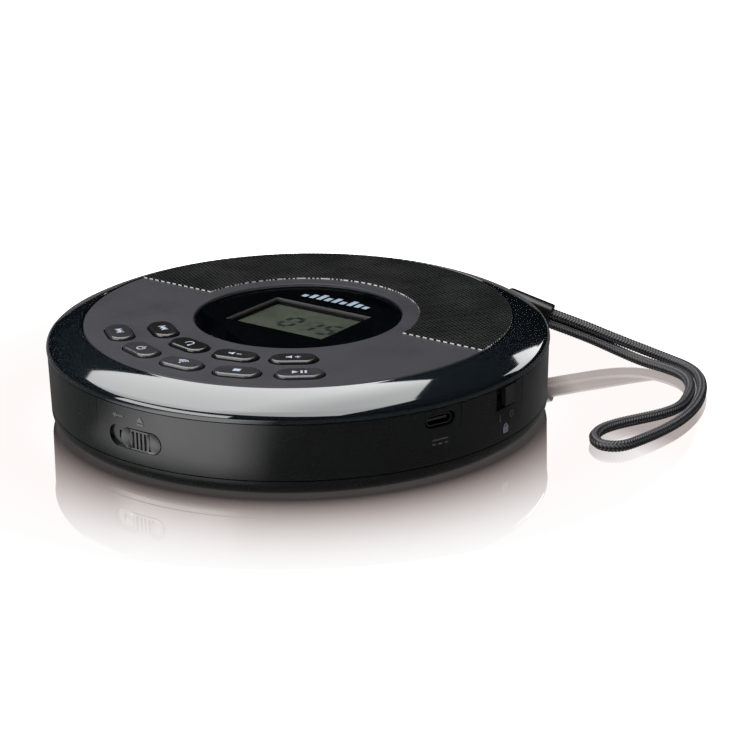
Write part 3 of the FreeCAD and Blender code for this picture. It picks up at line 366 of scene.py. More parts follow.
def shaded_at_foot(material, foot, top, share):
    """Darken a piece towards its foot, where little light reaches. Heights in metres."""
    tree = material.node_tree
    shader = tree.nodes["Principled BSDF"]
    colour = shader.inputs["Base Color"].links[0].from_socket
    place = tree.nodes.new("ShaderNodeTexCoord")
    split = tree.nodes.new("ShaderNodeSeparateXYZ")
    rise = tree.nodes.new("ShaderNodeMapRange")
    set_inputs(rise, {"From Min": foot, "From Max": top, "To Min": share, "To Max": 1.0})
    tree.links.new(place.outputs["Object"], split.inputs["Vector"])
    tree.links.new(split.outputs["Z"], rise.inputs["Value"])
    blend = mixed(tree, rise.outputs["Result"], (0, 0, 0, 1), colour)
    tree.links.new(blend, shader.inputs["Base Color"])


def make_materials():
    made = {
        "ring": grained("ring_gloss", (0.0013, 0.0018, 0.0023), 0.06, rough_spread=0.02, bump=0,
                        smudge=40, IOR=1.55),
        "panel": grained("panel_matte", (0.0091, 0.0086, 0.0112), 0.55, grain=3200, bump=0.03,
                         specular=0.15),
        "band": grained("band_satin", (0.0008, 0.001, 0.0013), 0.28, grain=2600, bump=0.008, specular=0.4),
        "grille": grained("grille_paint", (0.004, 0.0042, 0.0042), 0.36, grain=4000, bump=0.01,
                          specular=0.3),
        "cut_edge": grained("grille_cut_edge", (0.62, 0.6, 0.6), 0.35, metal=0.6, bump=0.01),
        "mask": grained("mask_print", (0.0008, 0.001, 0.0013), 0.12, bump=0, specular=0.1),
        "bezel": grained("bezel_grey", (0.075, 0.068, 0.067), 0.5, bump=0.01, specular=0.08),
        "lcd": grained("lcd_film", (0.029, 0.033, 0.024), 0.35, bump=0, smudge=120, specular=0.2),
        "digit": grained("lcd_digit", (0.004, 0.006, 0.006), 0.4, bump=0, specular=0.2),
        "ghost": grained("lcd_unlit", (0.024, 0.0275, 0.021), 0.4, bump=0, specular=0.2),
        "light": grained("light_guide", (0.75, 0.75, 0.72), 0.5),
        "inner_key": grained("key_inner", (0.0028, 0.0028, 0.003), 0.24, grain=3000, bump=0.006,
                             specular=0.4),
        "outer_key": grained("key_outer", (0.0095, 0.0095, 0.0105), 0.28, grain=3000, bump=0.006,
                             specular=0.4),
        "legend": grained("legend_print", (0.14, 0.155, 0.19), 0.5, grain=5000, bump=0.004),
        "badge": grained("badge_print", (0.085, 0.112, 0.14), 0.5, grain=5000, bump=0.004),
        "mark": grained("mark_relief", (0.02, 0.02, 0.022), 0.3, bump=0.006),
        "hold_mark": grained("hold_print", (0.05, 0.055, 0.075), 0.5, grain=5000, bump=0.004),
        "knob": grained("knob_satin", (0.004, 0.004, 0.0045), 0.3, grain=2600, bump=0.01),
        "inner": grained("inner_black", (0.008, 0.008, 0.009), 0.5, bump=0.02),
        "board": grained("board_mask", (0.015, 0.09, 0.04), 0.32, spread=0.25, smudge=300, bump=0.01),
        "foil": grained("cell_pouch", (0.62, 0.63, 0.66), 0.32, metal=1.0, smudge=140, bump=0.05, grain=500),
        "steel": grained("bright_steel", (0.56, 0.56, 0.58), 0.26, metal=1.0, bump=0.006),
        "dark_steel": grained("black_steel", (0.14, 0.14, 0.15), 0.35, metal=1.0, bump=0.01),
        "can": grained("motor_can", (0.5, 0.5, 0.51), 0.3, metal=1.0, bump=0.008),
        "magnet": grained("magnet_coat", (0.045, 0.045, 0.05), 0.45, bump=0.04, grain=900),
        "cone": grained("cone_paper", (0.022, 0.022, 0.023), 0.75, bump=0.08, grain=700, specular=0.2),
        "acetal": grained("acetal", (0.76, 0.74, 0.68), 0.38, bump=0.006, spread=0.04),
        "platter": grained("platter_black", (0.025, 0.025, 0.028), 0.38, bump=0.015),
        "ball": grained("ball_chrome", (0.8, 0.8, 0.82), 0.07, metal=1.0, bump=0, rough_spread=0.02),
        "socket": grained("socket_plate", (0.09, 0.09, 0.095), 0.25, metal=1.0, bump=0.004),
        "rubber": grained("foot_rubber", (0.02, 0.02, 0.02), 0.8, bump=0.06, grain=900, specular=0.2),
        "ferrule": grained("ferrule_black", (0.0025, 0.0025, 0.003), 0.28, bump=0.008, specular=0.35),
        "braid": shade_braid_hollows(grained("braid_yarn", (0.042, 0.042, 0.047), 0.5, spread=0.35, grain=6000,
                                 bump=0.02, specular=0.3)),
        "clear": clear_window("window_clear"),
    }
    made["objective"] = grained("objective_coat", (0.05, 0.06, 0.16), 0.05, bump=0, rough_spread=0.02,
                                **{"Coat Weight": 0.6})
    foot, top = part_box("lcd_glass")[1].z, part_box("display_mask")[0].z
    dark_below = foot + 0.45 * (top - foot)
    shaded_at_foot(made["bezel"], dark_below, top, 0.02)
    return made


MAT = make_materials()

NODE_MATERIALS = {
    "top_panel": "panel",
    "display_mask": "mask",
    "display_bezel": "bezel",
    "lcd_glass": "lcd",
    "lcd_backlight": "light",
    "housing_band": "band",
    "disc_door": "band",
    "door_feet": "rubber",
    "hinge_pin": "steel",
    "button_switches": "inner",
    "open_slider_knob": "knob",
    "latch_plate": "inner",
    "latch_spring": "steel",
    "hold_knob": "knob",
    "hold_switch": "inner",
    "usb_shell": "socket",
    "usb_tongue": "inner",
    "headphone_jack": "inner",
    "disc_deck": "inner",
    "deck_screws": "dark_steel",
    "main_board": "board",
    "board_screws": "steel",
    "battery_cell": "foil",
    "speaker_basket_left": "magnet",
    "speaker_basket_right": "magnet",
    "speaker_magnet_left": "magnet",
    "speaker_magnet_right": "magnet",
    "speaker_cone_left": "cone",
    "speaker_cone_right": "cone",
    "spindle_motor": "can",
    "disc_platter": "platter",
    "clamp_balls": "ball",
    "spindle": "steel",
    "guide_rods": "steel",
    "rod_clips": "inner",
    "pickup_sled": "inner",
    "lens_holder": "inner",
    "objective_lens": "objective",
    "sled_rack": "acetal",
    "drive_gear": "acetal",
    "gear_axle": "steel",
    "motor_pinion": "acetal",
    "pinion_shaft": "steel",
    "sled_motor": "can",
    "strap_post": "steel",
}
for key, row in KEYS.items():
    NODE_MATERIALS[key] = row + "_key"


def dress_nodes():
    for node, name in NODE_MATERIALS.items():
        mesh = NODES[node].data
        mesh.materials.clear()
        mesh.materials.append(MAT[name])


dress_nodes()


# ------------------------------------------------------------------ wrist strap

STRAP_D = 3.4
# From the ferrule out round the loop and back, in millimetres.
STRAP_ROUTE = (
    (38.8, 86.6, 14.7),
    (50.1, 90.2, 11.3),
    (61.2, 92.7, 7.9),
    (70.7, 95.4, 5.0),
    (79.7, 97.2, 2.6),
    (87.3, 96.3, 1.75),
    (94.3, 91.1, 1.75),
    (100.1, 82.5, 1.75),
    (104.5, 73.1, 1.75),
    (107.7, 62.3, 1.75),
    (109.3, 50.3, 1.75),
    (108.8, 39.3, 1.75),
    (107.2, 29.4, 1.75),
    (105.0, 20.8, 1.75),
    (99.3, 18.4, 1.75),
    (94.5, 22.2, 1.75),
    (92.5, 29.0, 1.75),
    (93.8, 35.9, 1.75),
    (97.6, 43.9, 1.75),
    (101.7, 52.1, 1.75),
    (103.7, 60.7, 1.75),
    (101.3, 70.7, 1.75),
    (97.5, 80.1, 1.75),
    (91.1, 87.9, 1.75),
    (82.4, 91.1, 1.75),
    (73.3, 92.0, 1.9),
    (62.7, 92.2, 4.0),
    (51.3, 90.7, 7.35),
    (37.5, 86.2, 11.4),
)


def route_curve(name, route):
    """A smooth open NURBS line whose control points are the route's, in millimetres."""
    data = bpy.data.curves.new(name, "CURVE")
    data.dimensions = "3D"
    data.resolution_u = 24
    spline = data.splines.new("NURBS")
    spline.points.add(len(route) - 1)
    for point, place in zip(spline.points, route):
        point.co = (*(Vector(place) * MM), 1)
    spline.order_u = 3
    spline.use_endpoint_u = True
    return data


def line_of(data):
    """The points that a curve with no bevel runs through, in millimetres."""
    holder = bpy.data.objects.new(data.name + "_line", data)
    bpy.context.scene.collection.objects.link(holder)
    bpy.context.view_layer.update()
    mesh = bpy.data.meshes.new_from_object(holder)
    points = [v.co / MM for v in mesh.vertices]
    bpy.data.objects.remove(holder)
    bpy.data.meshes.remove(mesh)
    return points


def evenly(points, step):
    """Points a fixed step apart along a line of points."""
    spaced = [points[0].copy()]
    left = step
    for a, b in zip(points, points[1:]):
        length = (b - a).length
        while length > 0 and left <= length:
            spaced.append(a.lerp(b, left / length))
            left += step
        left -= length
    return spaced


BRAID_COLUMNS = 8
BRAID_RIB = 1.0  # length of one yarn's slant, in millimetres
BRAID_RELIEF = 0.3
BRAID_MEAN = 0.6  # the height that lies on the tube's own radius
STRAP_STEP = BRAID_RIB / 6


def braid_height(turn, along):
    """How high the braid stands, from 0 to 1: lengthwise rows of short slanted yarns,
    each row leaning the other way from the next."""
    lane = turn * BRAID_COLUMNS
    across = lane % 1.0
    lean = 1 if int(lane) % 2 else -1
    yarn = abs(math.cos(math.pi * (along / BRAID_RIB + lean * (across - 0.5)))) ** 1.5
    return math.sin(math.pi * across) ** 0.8 * (0.1 + 0.9 * yarn)


def braided_tube(name, line, radius, around=48):
    """A round braid of yarns about a line of points, with each point's height marked."""
    points = []
    crests = []
    side = Vector((0, 0, 1)).cross(line[1] - line[0]).normalized()
    for index, centre in enumerate(line):
        ahead = (line[min(index + 1, len(line) - 1)] - line[max(index - 1, 0)]).normalized()
        side = (side - ahead * side.dot(ahead)).normalized()
        up = side.cross(ahead)
        for k in range(around):
            height = braid_height((k + 0.5) / around, index * STRAP_STEP)
            angle = 2 * math.pi * (k + 0.5) / around
            out = side * math.cos(angle) + up * math.sin(angle)
            points.append(centre + out * (radius + BRAID_RELIEF * (height - BRAID_MEAN)))
            # The crest mark sets how much of the braid's painted shade in the hollows a point gets.
            crests.append(height**1.8)
    faces = between_rings(len(line), around)
    faces.append(tuple(range(around)))
    faces.append(tuple(reversed(range(len(points) - around, len(points)))))
    mesh = mesh_from(name, points, faces, smooth=True)
    mark = mesh.attributes.new("crest", "FLOAT", "POINT")
    mark.data.foreach_set("value", crests)
    return mesh


FERRULE_NEAR = Vector((24.5, 82.0, 17.4))
FERRULE_WAY = Vector((15.5, 5.0, -5.3)).normalized()
FERRULE_L, FERRULE_H, FERRULE_T = 17.0, 10.4, 5.0


def rounded_outline(width, height, radius, per_corner=8):
    """Points round a rectangle with rounded corners, about its middle."""
    points = []
    for x, y, first in ((1, 1, 0), (-1, 1, 90), (-1, -1, 180), (1, -1, 270)):
        for k in range(per_corner + 1):
            angle = math.radians(first + 90 * k / per_corner)
            points.append(
                (
                    x * (width / 2 - radius) + radius * math.cos(angle),
                    y * (height / 2 - radius) + radius * math.sin(angle),
                )
            )
    return points


def make_ferrule():
    """The flat moulded sleeve that holds both ends of the strap: a rounded shell with a
    softly domed end towards the case and a shallow mouth where the strap leaves."""
    across = Vector((0, 0, 1)).cross(FERRULE_WAY).normalized()
    rising = FERRULE_WAY.cross(across).normalized()
    corner, near_round, far_round, mouth_wall, mouth_deep = 2.1, 2.0, 0.45, 0.6, 0.5
    stations = []  # (distance along the sleeve, inset from its full outline)
    for k in range(9):
        angle = math.radians(90 * k / 8)
        stations.append((near_round * (1 - math.cos(angle)), near_round * (1 - math.sin(angle))))
    for k in range(6):
        angle = math.radians(90 * k / 5)
        stations.append(
            (FERRULE_L - far_round * (1 - math.sin(angle)), far_round * (1 - math.cos(angle)))
        )
    stations += [(FERRULE_L, mouth_wall), (FERRULE_L - mouth_deep, mouth_wall + 0.15)]
    points = []
    for along, inset in stations:
        radius = max(corner - inset, 0.3)
        for x, y in rounded_outline(FERRULE_H - 2 * inset, FERRULE_T - 2 * inset, radius):
            points.append(FERRULE_NEAR + FERRULE_WAY * along + rising * x + across * y)
    size = len(points) // len(stations)
    ends = [tuple(range(size)), tuple(range(len(points) - size, len(points)))]
    mesh = mesh_from("ferrule_sleeve", points, ends + between_rings(len(stations), size))
    sharpen(mesh, 30)
    return new_piece("ferrule_sleeve", mesh, "casing", MAT["ferrule"], "strap_ferrule")


STRING_D = 1.0
STRING_Z = 17.2
STRING_GAP = 1.45  # from the post's middle to the string's
STRING_TUCK = 1.6  # how far the string goes into the ferrule


def make_strap():
    """The braided cord, its ferrule, and the thin string that loops round the post."""
    line = evenly(line_of(route_curve("strap_route", STRAP_ROUTE)), STRAP_STEP)
    mesh = braided_tube("strap_braid", line, STRAP_D / 2 - 0.02)
    strap = new_piece("strap_braid", mesh, "casing", MAT["braid"], "strap_cord")

    low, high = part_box("strap_post")
    pin = (low + high) / 2 / MM
    away = Vector((FERRULE_NEAR.x - pin.x, FERRULE_NEAR.y - pin.y, 0)).normalized()
    side = Vector((-away.y, away.x, 0)) * STRING_GAP
    back = away * STRING_GAP
    past = away * 1.2
    pin.z = STRING_Z
    into = away * ((FERRULE_NEAR - pin).dot(away) + STRING_TUCK)
    route = (
        pin + side + into,
        pin + side + into * 0.55,
        pin + side + past,
        pin + side - back,
        pin - back,
        pin - side - back,
        pin - side + past,
        pin - side + into * 0.55,
        pin - side + into,
    )
    data = route_curve("strap_tie", route)
    data.bevel_depth = STRING_D / 2 * MM
    data.bevel_resolution = 5
    data.use_fill_caps = True
    string = bpy.data.objects.new("strap_tie", data)
    bpy.context.scene.collection.objects.link(string)
    data.materials.append(MAT["braid"])
    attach(string, "casing")
    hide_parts("strap_string")
    make_ferrule()


make_strap()


# ------------------------------------------------------------------ top of the case

PANEL_Z = 30.2


def make_ring():
    """The glossy ring as (radius, height): a gentle slope, a rounded nose, the ledge inside."""
    slope = arc_points((68.0, PANEL_Z), (77.3, 26.6), 38.0, 26)
    nose = arc_points((77.3, 26.6), (79.0, 23.4), 3.0, 16)[1:]
    foot = [(79.0, 23.28), (78.92, 23.2), (78.2, 23.2), (78.2, 22.9), (76.7, 22.9), (76.7, 24.2)]
    ledge = [(70.0, 27.2), (64.5, 27.2), (64.5, 28.4), (68.0, 28.4), (68.0, PANEL_Z - 0.12)]
    lip = [(68.12, PANEL_Z - 0.02)]
    mesh = revolved("ring_skin", lip + slope[1:] + nose + foot + ledge, 360)
    sharpen(mesh, 25)
    return new_piece("ring_skin", mesh, "casing", MAT["ring"], "top_ring")


def make_lens():
    """The clear round cover, a little below the panel, with a soft upper edge."""
    low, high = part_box("display_lens")
    radius, foot, top = high.x / MM, low.z / MM, high.z / MM
    soft = 0.2
    outline = [(radius, foot)]
    for k in range(6):
        angle = math.radians(90 * k / 5)
        outline.append((radius - soft + soft * math.cos(angle), top - soft + soft * math.sin(angle)))
    count = 288
    points = []
    for r, z in outline:
        points += [(x, y, z) for x, y in ring_points(0, 0, r, count)]
    ends = [tuple(range(count)), tuple(range(len(points) - count, len(points)))]
    mesh = mesh_from("lens_disc", points, ends + between_rings(len(outline), count))
    sharpen(mesh, 25)
    new_piece("lens_disc", mesh, "casing", MAT["clear"], "display_lens")


def make_badge():
    """A plain row of level bars printed on the lens behind the window."""
    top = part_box("display_lens")[1].z / MM
    levels = (2.2, 3.6, 5.0, 3.2, 4.4, 2.6, 4.8, 3.4, 2.4)
    pitch, width, foot, shift = 3.0, 1.9, 16.6, 1.2
    bars = []
    for k, level in enumerate(levels):
        x = (k - (len(levels) - 1) / 2) * pitch + shift
        bars.append(rect(x, foot + level / 2, width, level))
    mesh = solid_from_flats("level_badge", bars, top - 0.01, top + 0.02)
    new_piece("level_badge", mesh, "casing", MAT["badge"])


GRILLE_TOP = 30.5
GRILLE_LOW = 29.9
GRILLE_PITCH = 1.443
GRILLE_HOLE = 0.54  # radius
GRILLE_INNER = 38.2
GRILLE_OUTER = 67.2
GRILLE_FRONT = 2.7


def clip(polygon, normal, limit):
    """The part of a flat polygon where point . normal is not over limit."""
    kept = []
    for i, p in enumerate(polygon):
        q = polygon[(i + 1) % len(polygon)]
        dp, dq = (v[0] * normal[0] + v[1] * normal[1] - limit for v in (p, q))
        if dp <= 0:
            kept.append(p)
        if (dp < 0 < dq) or (dq < 0 < dp):
            share = dp / (dp - dq)
            kept.append((p[0] + (q[0] - p[0]) * share, p[1] + (q[1] - p[1]) * share))
    return kept


def clipped_to_grille(polygon):
    """A small polygon cut back to the half ring of the grille."""
    middle = Vector((sum(p[0] for p in polygon), sum(p[1] for p in polygon))).normalized()
    polygon = clip(polygon, (0, -1), -GRILLE_FRONT)
    if polygon:
        polygon = clip(polygon, middle, GRILLE_OUTER)
    if polygon:
        polygon = clip(polygon, -middle, -GRILLE_INNER)
    return polygon


def grille_flats():
    """The web round each round hole of a close-packed sheet, as small triangles."""
    corner = GRILLE_PITCH / math.sqrt(3)
    step = GRILLE_PITCH * math.sqrt(3) / 2
    reach = int(GRILLE_OUTER / step) + 2
    flats = []
    for column in range(-reach, reach + 1):
        shift = column % 2 * GRILLE_PITCH / 2
        for row in range(-1, int(GRILLE_OUTER / GRILLE_PITCH) + 2):
            x, y = column * step, row * GRILLE_PITCH + shift + GRILLE_FRONT
            if not GRILLE_INNER - 1.2 < math.hypot(x, y) < GRILLE_OUTER + 1.2:
                continue
            cell = ring_points(x, y, corner, 6)
            hole = ring_points(x, y, GRILLE_HOLE, 12)
            for k in range(6):
                a, b = cell[k], cell[(k + 1) % 6]
                p, mid, q = hole[2 * k], hole[2 * k + 1], hole[(2 * k + 2) % 12]
                for flat in ([a, mid, p], [a, b, mid], [b, q, mid]):
                    flat = clipped_to_grille(flat)
                    if len(flat) > 2:
                        flats.append(flat)
    return flats


def is_cut_edge(face):
    """Whether a side face lies on the grille's outline and not in a hole."""
    middle = face.calc_center_median() / MM
    radius = math.hypot(middle.x, middle.y)
    ways = (middle.y - GRILLE_FRONT, radius - GRILLE_INNER, GRILLE_OUTER - radius)
    return abs(face.normal.z) < 0.5 and min(ways) < 0.03


def make_grille():
    """The perforated half ring, as one sheet with real holes and bare cut edges."""
    work = bmesh.new()
    for flat in grille_flats():
        work.faces.new([work.verts.new((x * MM, y * MM, GRILLE_TOP * MM)) for x, y in flat])
    bmesh.ops.remove_doubles(work, verts=work.verts, dist=0.02 * MM)
    bmesh.ops.dissolve_degenerate(work, dist=0.01 * MM, edges=work.edges)
    for face in work.faces:
        face.normal_update()
        if face.normal.z < 0:
            face.normal_flip()
    extruded = bmesh.ops.extrude_face_region(work, geom=work.faces[:], use_keep_orig=True)
    lower = [item for item in extruded["geom"] if isinstance(item, bmesh.types.BMVert)]
    bmesh.ops.translate(work, verts=lower, vec=(0, 0, (GRILLE_LOW - GRILLE_TOP) * MM))
    bmesh.ops.recalc_face_normals(work, faces=work.faces)
    for face in work.faces:
        face.material_index = int(is_cut_edge(face))
    mesh = bpy.data.meshes.new("grille_sheet")
    work.to_mesh(mesh)
    work.free()
    new_piece("grille_sheet", mesh, "casing", MAT["grille"], "speaker_grille")
    mesh.materials.append(MAT["cut_edge"])


RING = make_ring()
make_lens()
make_badge()
make_grille()


# ------------------------------------------------------------------ legends


def make_legends():
    """The printed sign on each key, which moves with the key."""
    for key, flats in SIGNS.items():
        low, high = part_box(key)
        middle = (low + high) / 2
        turn = math.degrees(math.atan2(middle.x, -middle.y))
        place = Matrix.Translation((middle.x, middle.y, 0)) @ turn_matrix(turn)
        top = high.z / MM
        mesh = solid_from_flats(key + "_sign", flats, top - 0.02, top + 0.03, place)
        new_piece(key + "_sign", mesh, key, MAT["legend"])


def on_wall(name, flats, turn, radius, proud, material):
    """Prisms on the side wall: each flat's points are (distance along the wall, height)."""
    points = []
    faces = []
    for flat in flats:
        base, count = len(points), len(flat)
        for r in (radius - 0.15, radius + proud):
            for along, z in flat:
                angle = along / radius
                points.append((r * math.sin(angle), -r * math.cos(angle), z))
        faces.append([base + i for i in range(count)])
        faces.append([base + count + i for i in reversed(range(count))])
        for i in range(count):
            j = (i + 1) % count
            faces.append((base + j, base + i, base + count + i, base + count + j))
    mesh = mesh_from(name, points, faces)
    mesh.transform(turn_matrix(turn))
    new_piece(name, mesh, "casing", material)


def shifted(flats, x, y):
    return [[(px + x, py + y) for px, py in flat] for flat in flats]


def make_wall_marks():
    """Relief marks by the slides and the socket, and the printed padlock. The slide, the
    socket and the hold slide stand at these turns from the case's front, in degrees."""
    slide, socket, hold = 0, 68.5, 88.5
    arrow = [rect(-5.2, 19.7, 3.2, 0.5), triangle(-7.3, 19.7, 1.6, 1.9, -1)]
    eject = [[(-1.0, 19.4), (1.4, 19.4), (0.2, 21.0)], rect(0.2, 18.6, 2.4, 0.5)]
    on_wall("open_mark", arrow + shifted(eject, 2.6, -0.1), slide, 78.75, 0.16, MAT["mark"])
    supply = [rect(0, 13.4, 5.4, 0.4)] + [rect(x, 12.1, 1.2, 0.4) for x in (-2.1, 0, 2.1)]
    on_wall("supply_mark", supply, socket, 78.65, 0.1, MAT["mark"])
    states = [rect(-3.0, 13.2, 0.4, 2.2)] + shifted(arc_band(0, 0, 0.9, 0.36, 0, 360, 20), 3.0, 13.2)
    on_wall("state_mark", states, hold, 78.65, 0.1, MAT["mark"])
    lock = [rect(0, 9.0, 2.6, 1.9)] + shifted(arc_band(0, 0, 0.85, 0.4, 0, 180), 0, 9.9)
    on_wall("lock_mark", lock, hold, 78.58, 0.05, MAT["hold_mark"])


# Lit bars of a seven-bar digit: top, upper left, upper right, middle, lower left, lower
# right, bottom.
DIGITS = {"0": "1110111", "1": "0010010", "5": "1101011"}


def digit_bars(x, y, width, height, thick):
    """The seven bars of one digit from its lower left corner, with a slight slant."""
    half = height / 2
    level = [
        rect(width / 2, height, width - thick, thick),
        rect(0, height * 0.75, thick, half - thick),
        rect(width, height * 0.75, thick, half - thick),
        rect(width / 2, half, width - thick, thick),
        rect(0, height * 0.25, thick, half - thick),
        rect(width, height * 0.25, thick, half - thick),
        rect(width / 2, 0, width - thick, thick),
    ]
    lean = 0.12
    return [[(x + px + lean * py, y + py) for px, py in bar] for bar in level]


def make_display_digits():
    """Three large digits, two small unlit ones to their left, and an unlit row above."""
    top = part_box("lcd_glass")[1].z / MM
    large = {"y": -3.9, "width": 4.6, "height": 8.6, "thick": 1.55}
    small = {"y": -1.5, "width": 2.6, "height": 4.8, "thick": 0.7}
    lit, unlit = [], []
    for x, digit in ((-6.2, "0"), (1.4, "1"), (9.0, "5")):
        for bar, on in zip(digit_bars(x, **large), DIGITS[digit]):
            (lit if on == "1" else unlit).append(bar)
    for x in (-15.5, -11.0):
        unlit += digit_bars(x, **small)
    unlit += [rect(-8 + 3.1 * k, 8.9, 2.2, 0.8) for k in range(8)]
    mesh = solid_from_flats("digits_lit", lit, top - 0.02, top + 0.04)
    new_piece("digits_lit", mesh, "casing", MAT["digit"])
    mesh = solid_from_flats("digits_unlit", unlit, top - 0.02, top + 0.02)
    new_piece("digits_unlit", mesh, "casing", MAT["ghost"])


make_legends()
make_wall_marks()
make_display_digits()


# ------------------------------------------------------------------ studio


def stepped(tree, value, stops):
    """A socket that runs through (place, amount) stops as a value does."""
    first, last = stops[0][0], stops[-1][0]
    peak = max(amount for _, amount in stops)
    along = tree.nodes.new("ShaderNodeMapRange")
    set_inputs(along, {"From Min": first, "From Max": last})
    tree.links.new(value, along.inputs["Value"])
    fade = tree.nodes.new("ShaderNodeValToRGB")
    ramp = fade.color_ramp
    while len(ramp.elements) < len(stops):
        ramp.elements.new(0.5)
    for element, (place, amount) in zip(ramp.elements, stops):
        element.position = (place - first) / (last - first)
        share = amount / peak
        element.color = (share, share, share, 1)
    tree.links.new(along.outputs["Result"], fade.inputs["Fac"])
    return reckon(tree, "MULTIPLY", fade.outputs["Color"], peak)


def place_parts(tree):
    """The X and Y of a point in the scene, and its distance from the case's axis."""
    place = tree.nodes.new("ShaderNodeNewGeometry")
    split = tree.nodes.new("ShaderNodeSeparateXYZ")
    length = tree.nodes.new("ShaderNodeVectorMath")
    length.operation = "LENGTH"
    for node in (split, length):
        tree.links.new(place.outputs["Position"], node.inputs[0])
    return split.outputs["X"], split.outputs["Y"], length.outputs["Value"]


def emitter(name, corners, glow_stops, only=None):
    """A flat softbox with the given corners, in millimetres. Its glow runs through stops
    of (X in metres, strength), and it may light only one piece."""
    mesh = bpy.data.meshes.new(name)
    mesh.from_pydata([Vector(c) * MM for c in corners], [], [tuple(range(len(corners)))])
    material = bpy.data.materials.new(name)
    material.use_nodes = True
    tree = material.node_tree
    tree.nodes.clear()
    glow = tree.nodes.new("ShaderNodeEmission")
    tree.links.new(stepped(tree, place_parts(tree)[0], glow_stops), glow.inputs["Strength"])
    out = tree.nodes.new("ShaderNodeOutputMaterial")
    tree.links.new(glow.outputs["Emission"], out.inputs["Surface"])
    mesh.materials.append(material)
    made = bpy.data.objects.new(name, mesh)
    bpy.context.scene.collection.objects.link(made)
    made.visible_camera = False
    if only:
        lit = bpy.data.collections.new(name + "_lights")
        lit.objects.link(only)
        made.light_linking.receiver_collection = lit


def standing_card(first, last, distance, low, high):
    """The corners of an upright card round the case, in millimetres, between two azimuths
    in degrees from the case's front towards +X."""
    feet = []
    for azimuth in (first, last):
        a = math.radians(azimuth)
        feet.append((distance * math.sin(a), -distance * math.cos(a)))
    return [(*feet[0], low), (*feet[1], low), (*feet[1], high), (*feet[0], high)]


# The overhead card is brightest a little left of its middle: X in metres, strength.
OVERHEAD_GLOW = ((-0.84, 5.0), (-0.15, 9.0), (0.0, 6.5), (0.8, 7.0))


def make_lights(ring):
    """A card overhead, one in front on the left, and one behind that lights only the ring."""
    overhead = [(-810, 236, 600), (-67, 475, 600), (800, -560, 600), (-840, -560, 600)]
    emitter("box_overhead", overhead, OVERHEAD_GLOW)
    emitter("box_left", standing_card(-46, 8, 900, 120, 480), ((-1, 8.5), (1, 8.5)))
    emitter("box_back", standing_card(185, 150, 1100, 320, 690), ((-1, 6.0), (1, 6.0)), only=ring)


# The floor, in metres from the case's axis. Its mirror fades from the case's edge with the
# square of what is left of its reach, and sets in again behind the case, by Y, for the
# strap. Its chalk glow is dimmed close to the case as painted shade, and white further out.
FLOOR_SIZE = 3.0
MIRROR_SHARE, MIRROR_EDGE, MIRROR_END = 0.96, 0.0785, 0.132
# Painted reflection: the floor's glow takes this warm tint where its mirror is strong.
PAINTED_REFLECTION_TINT = (1, 0.81, 0.75, 1)
STRAP_MIRROR = ((0.018, 0.0), (0.04, 0.58))
CHALK_SHADE_STOPS = ((0.125, 0.18), (0.155, 0.95))
CHALK_GLOW = 5.5
CHALK_IN_GLOSS = (0.03, 0.03, 0.03, 1)
# What glossy pieces see in the floor in front of the case is a patch of light: its
# strength by the azimuth from the case's front towards +X in degrees, and its near edge.
PATCH_STOPS = ((-30, 0.0), (-8, 3.4), (16, 3.4), (30, 0.0))
PATCH_EDGE = ((0.089, 0.0), (0.101, 1.0))


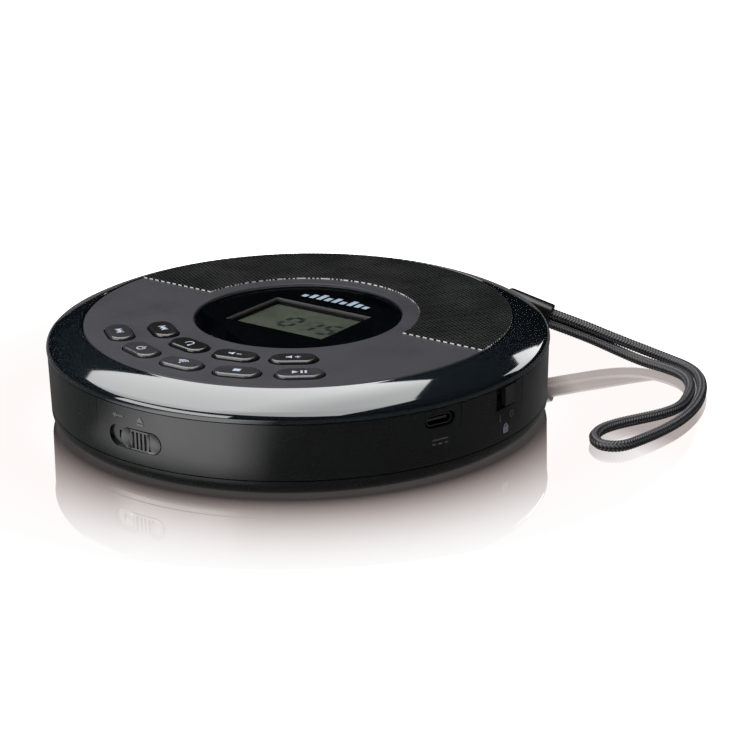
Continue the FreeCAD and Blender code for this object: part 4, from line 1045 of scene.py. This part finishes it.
def make_floor():
    """A white floor that glows by itself, and mirrors what stands close to the case's foot
    and the strap behind it. The mirror is for the eye only: glossy pieces see a dark floor
    with the patch of light in front of the case."""
    corners = [(x * FLOOR_SIZE, y * FLOOR_SIZE, 0) for x, y in ((-1, -1), (1, -1), (1, 1), (-1, 1))]
    mesh = bpy.data.meshes.new("floor")
    mesh.from_pydata(corners, [], [(0, 1, 2, 3)])
    material = bpy.data.materials.new("floor")
    material.use_nodes = True
    material.cycles.emission_sampling = "NONE"
    tree = material.node_tree
    tree.nodes.clear()
    out = tree.nodes.new("ShaderNodeOutputMaterial")
    chalk = tree.nodes.new("ShaderNodeEmission")
    chalk.inputs["Strength"].default_value = CHALK_GLOW
    mirror = tree.nodes.new("ShaderNodeBsdfGlossy")
    mirror.inputs["Color"].default_value = (1, 1, 1, 1)
    mirror.inputs["Roughness"].default_value = 0.03
    glossy_ray = tree.nodes.new("ShaderNodeLightPath").outputs["Is Glossy Ray"]
    x, y, radius = place_parts(tree)
    behind = stepped(tree, y, STRAP_MIRROR)
    left = stepped(tree, radius, ((MIRROR_EDGE, 1.0), (MIRROR_END, 0.0)))
    fading = reckon(tree, "MULTIPLY", reckon(tree, "MULTIPLY", left, left), MIRROR_SHARE)
    share = reckon(tree, "MAXIMUM", fading, behind)
    reflection_paint = mixed(tree, share, (1, 1, 1, 1), PAINTED_REFLECTION_TINT)
    # Painted shade: the floor's glow is dimmed close to the case.
    colour = mixed(tree, 1.0, reflection_paint, stepped(tree, radius, CHALK_SHADE_STOPS), "MULTIPLY")
    colour = mixed(tree, glossy_ray, colour, CHALK_IN_GLOSS)
    tree.links.new(colour, chalk.inputs["Color"])

    mix = tree.nodes.new("ShaderNodeMixShader")
    for_eye = reckon(tree, "SUBTRACT", 1.0, glossy_ray)
    tree.links.new(reckon(tree, "MULTIPLY", share, for_eye), mix.inputs["Fac"])
    tree.links.new(chalk.outputs["Emission"], mix.inputs[1])
    tree.links.new(mirror.outputs["BSDF"], mix.inputs[2])

    azimuth = reckon(tree, "ARCTAN2", x, reckon(tree, "MULTIPLY", y, -1.0))
    glow_stops = [(math.radians(turn), strength) for turn, strength in PATCH_STOPS]
    glow = tree.nodes.new("ShaderNodeEmission")
    beyond = stepped(tree, radius, PATCH_EDGE)
    seen = reckon(tree, "MULTIPLY", stepped(tree, azimuth, glow_stops), beyond)
    seen = reckon(tree, "MULTIPLY", seen, glossy_ray)
    tree.links.new(seen, glow.inputs["Strength"])
    both = tree.nodes.new("ShaderNodeAddShader")
    tree.links.new(mix.outputs["Shader"], both.inputs[0])
    tree.links.new(glow.outputs["Emission"], both.inputs[1])
    tree.links.new(both.outputs["Shader"], out.inputs["Surface"])
    mesh.materials.append(material)
    floor = bpy.data.objects.new("floor", mesh)
    bpy.context.scene.collection.objects.link(floor)
    return floor


def make_backdrop(floor):
    """A white dome that only the floor mirrors, and only on a ray's first bounce."""
    bpy.ops.mesh.primitive_uv_sphere_add(segments=48, ring_count=24, radius=4.0)
    dome = bpy.context.object
    dome.name = "backdrop"
    material = bpy.data.materials.new("backdrop")
    material.use_nodes = True
    tree = material.node_tree
    tree.nodes.clear()
    out = tree.nodes.new("ShaderNodeOutputMaterial")
    glow = tree.nodes.new("ShaderNodeEmission")
    path = tree.nodes.new("ShaderNodeLightPath")
    first = reckon(tree, "LESS_THAN", path.outputs["Ray Depth"], 1.5)
    tree.links.new(first, glow.inputs["Strength"])
    tree.links.new(glow.outputs["Emission"], out.inputs["Surface"])
    dome.data.materials.append(material)
    dome.visible_camera = False
    dome.visible_diffuse = False
    dome.visible_transmission = False
    dome.visible_shadow = False
    receivers = bpy.data.collections.new("mirrors_backdrop")
    receivers.objects.link(floor)
    dome.light_linking.receiver_collection = receivers


def make_world():
    """Dark to reflections, soft to matt surfaces, white behind."""
    world = bpy.data.worlds.new("studio")
    world.use_nodes = True
    bpy.context.scene.world = world
    tree = world.node_tree
    back = tree.nodes["Background"]
    path = tree.nodes.new("ShaderNodeLightPath")
    tone = tree.nodes.new("ShaderNodeMapRange")
    set_inputs(tone, {"To Min": 0.7, "To Max": 0.006})
    tree.links.new(path.outputs["Is Glossy Ray"], tone.inputs["Value"])
    white = reckon(tree, "MAXIMUM", tone.outputs["Result"], path.outputs["Is Camera Ray"])
    tree.links.new(white, back.inputs["Strength"])
    back.inputs["Color"].default_value = (1, 1, 1, 1)


bpy.context.scene.view_settings.view_transform = "Standard"
make_lights(RING)
make_backdrop(make_floor())
make_world()
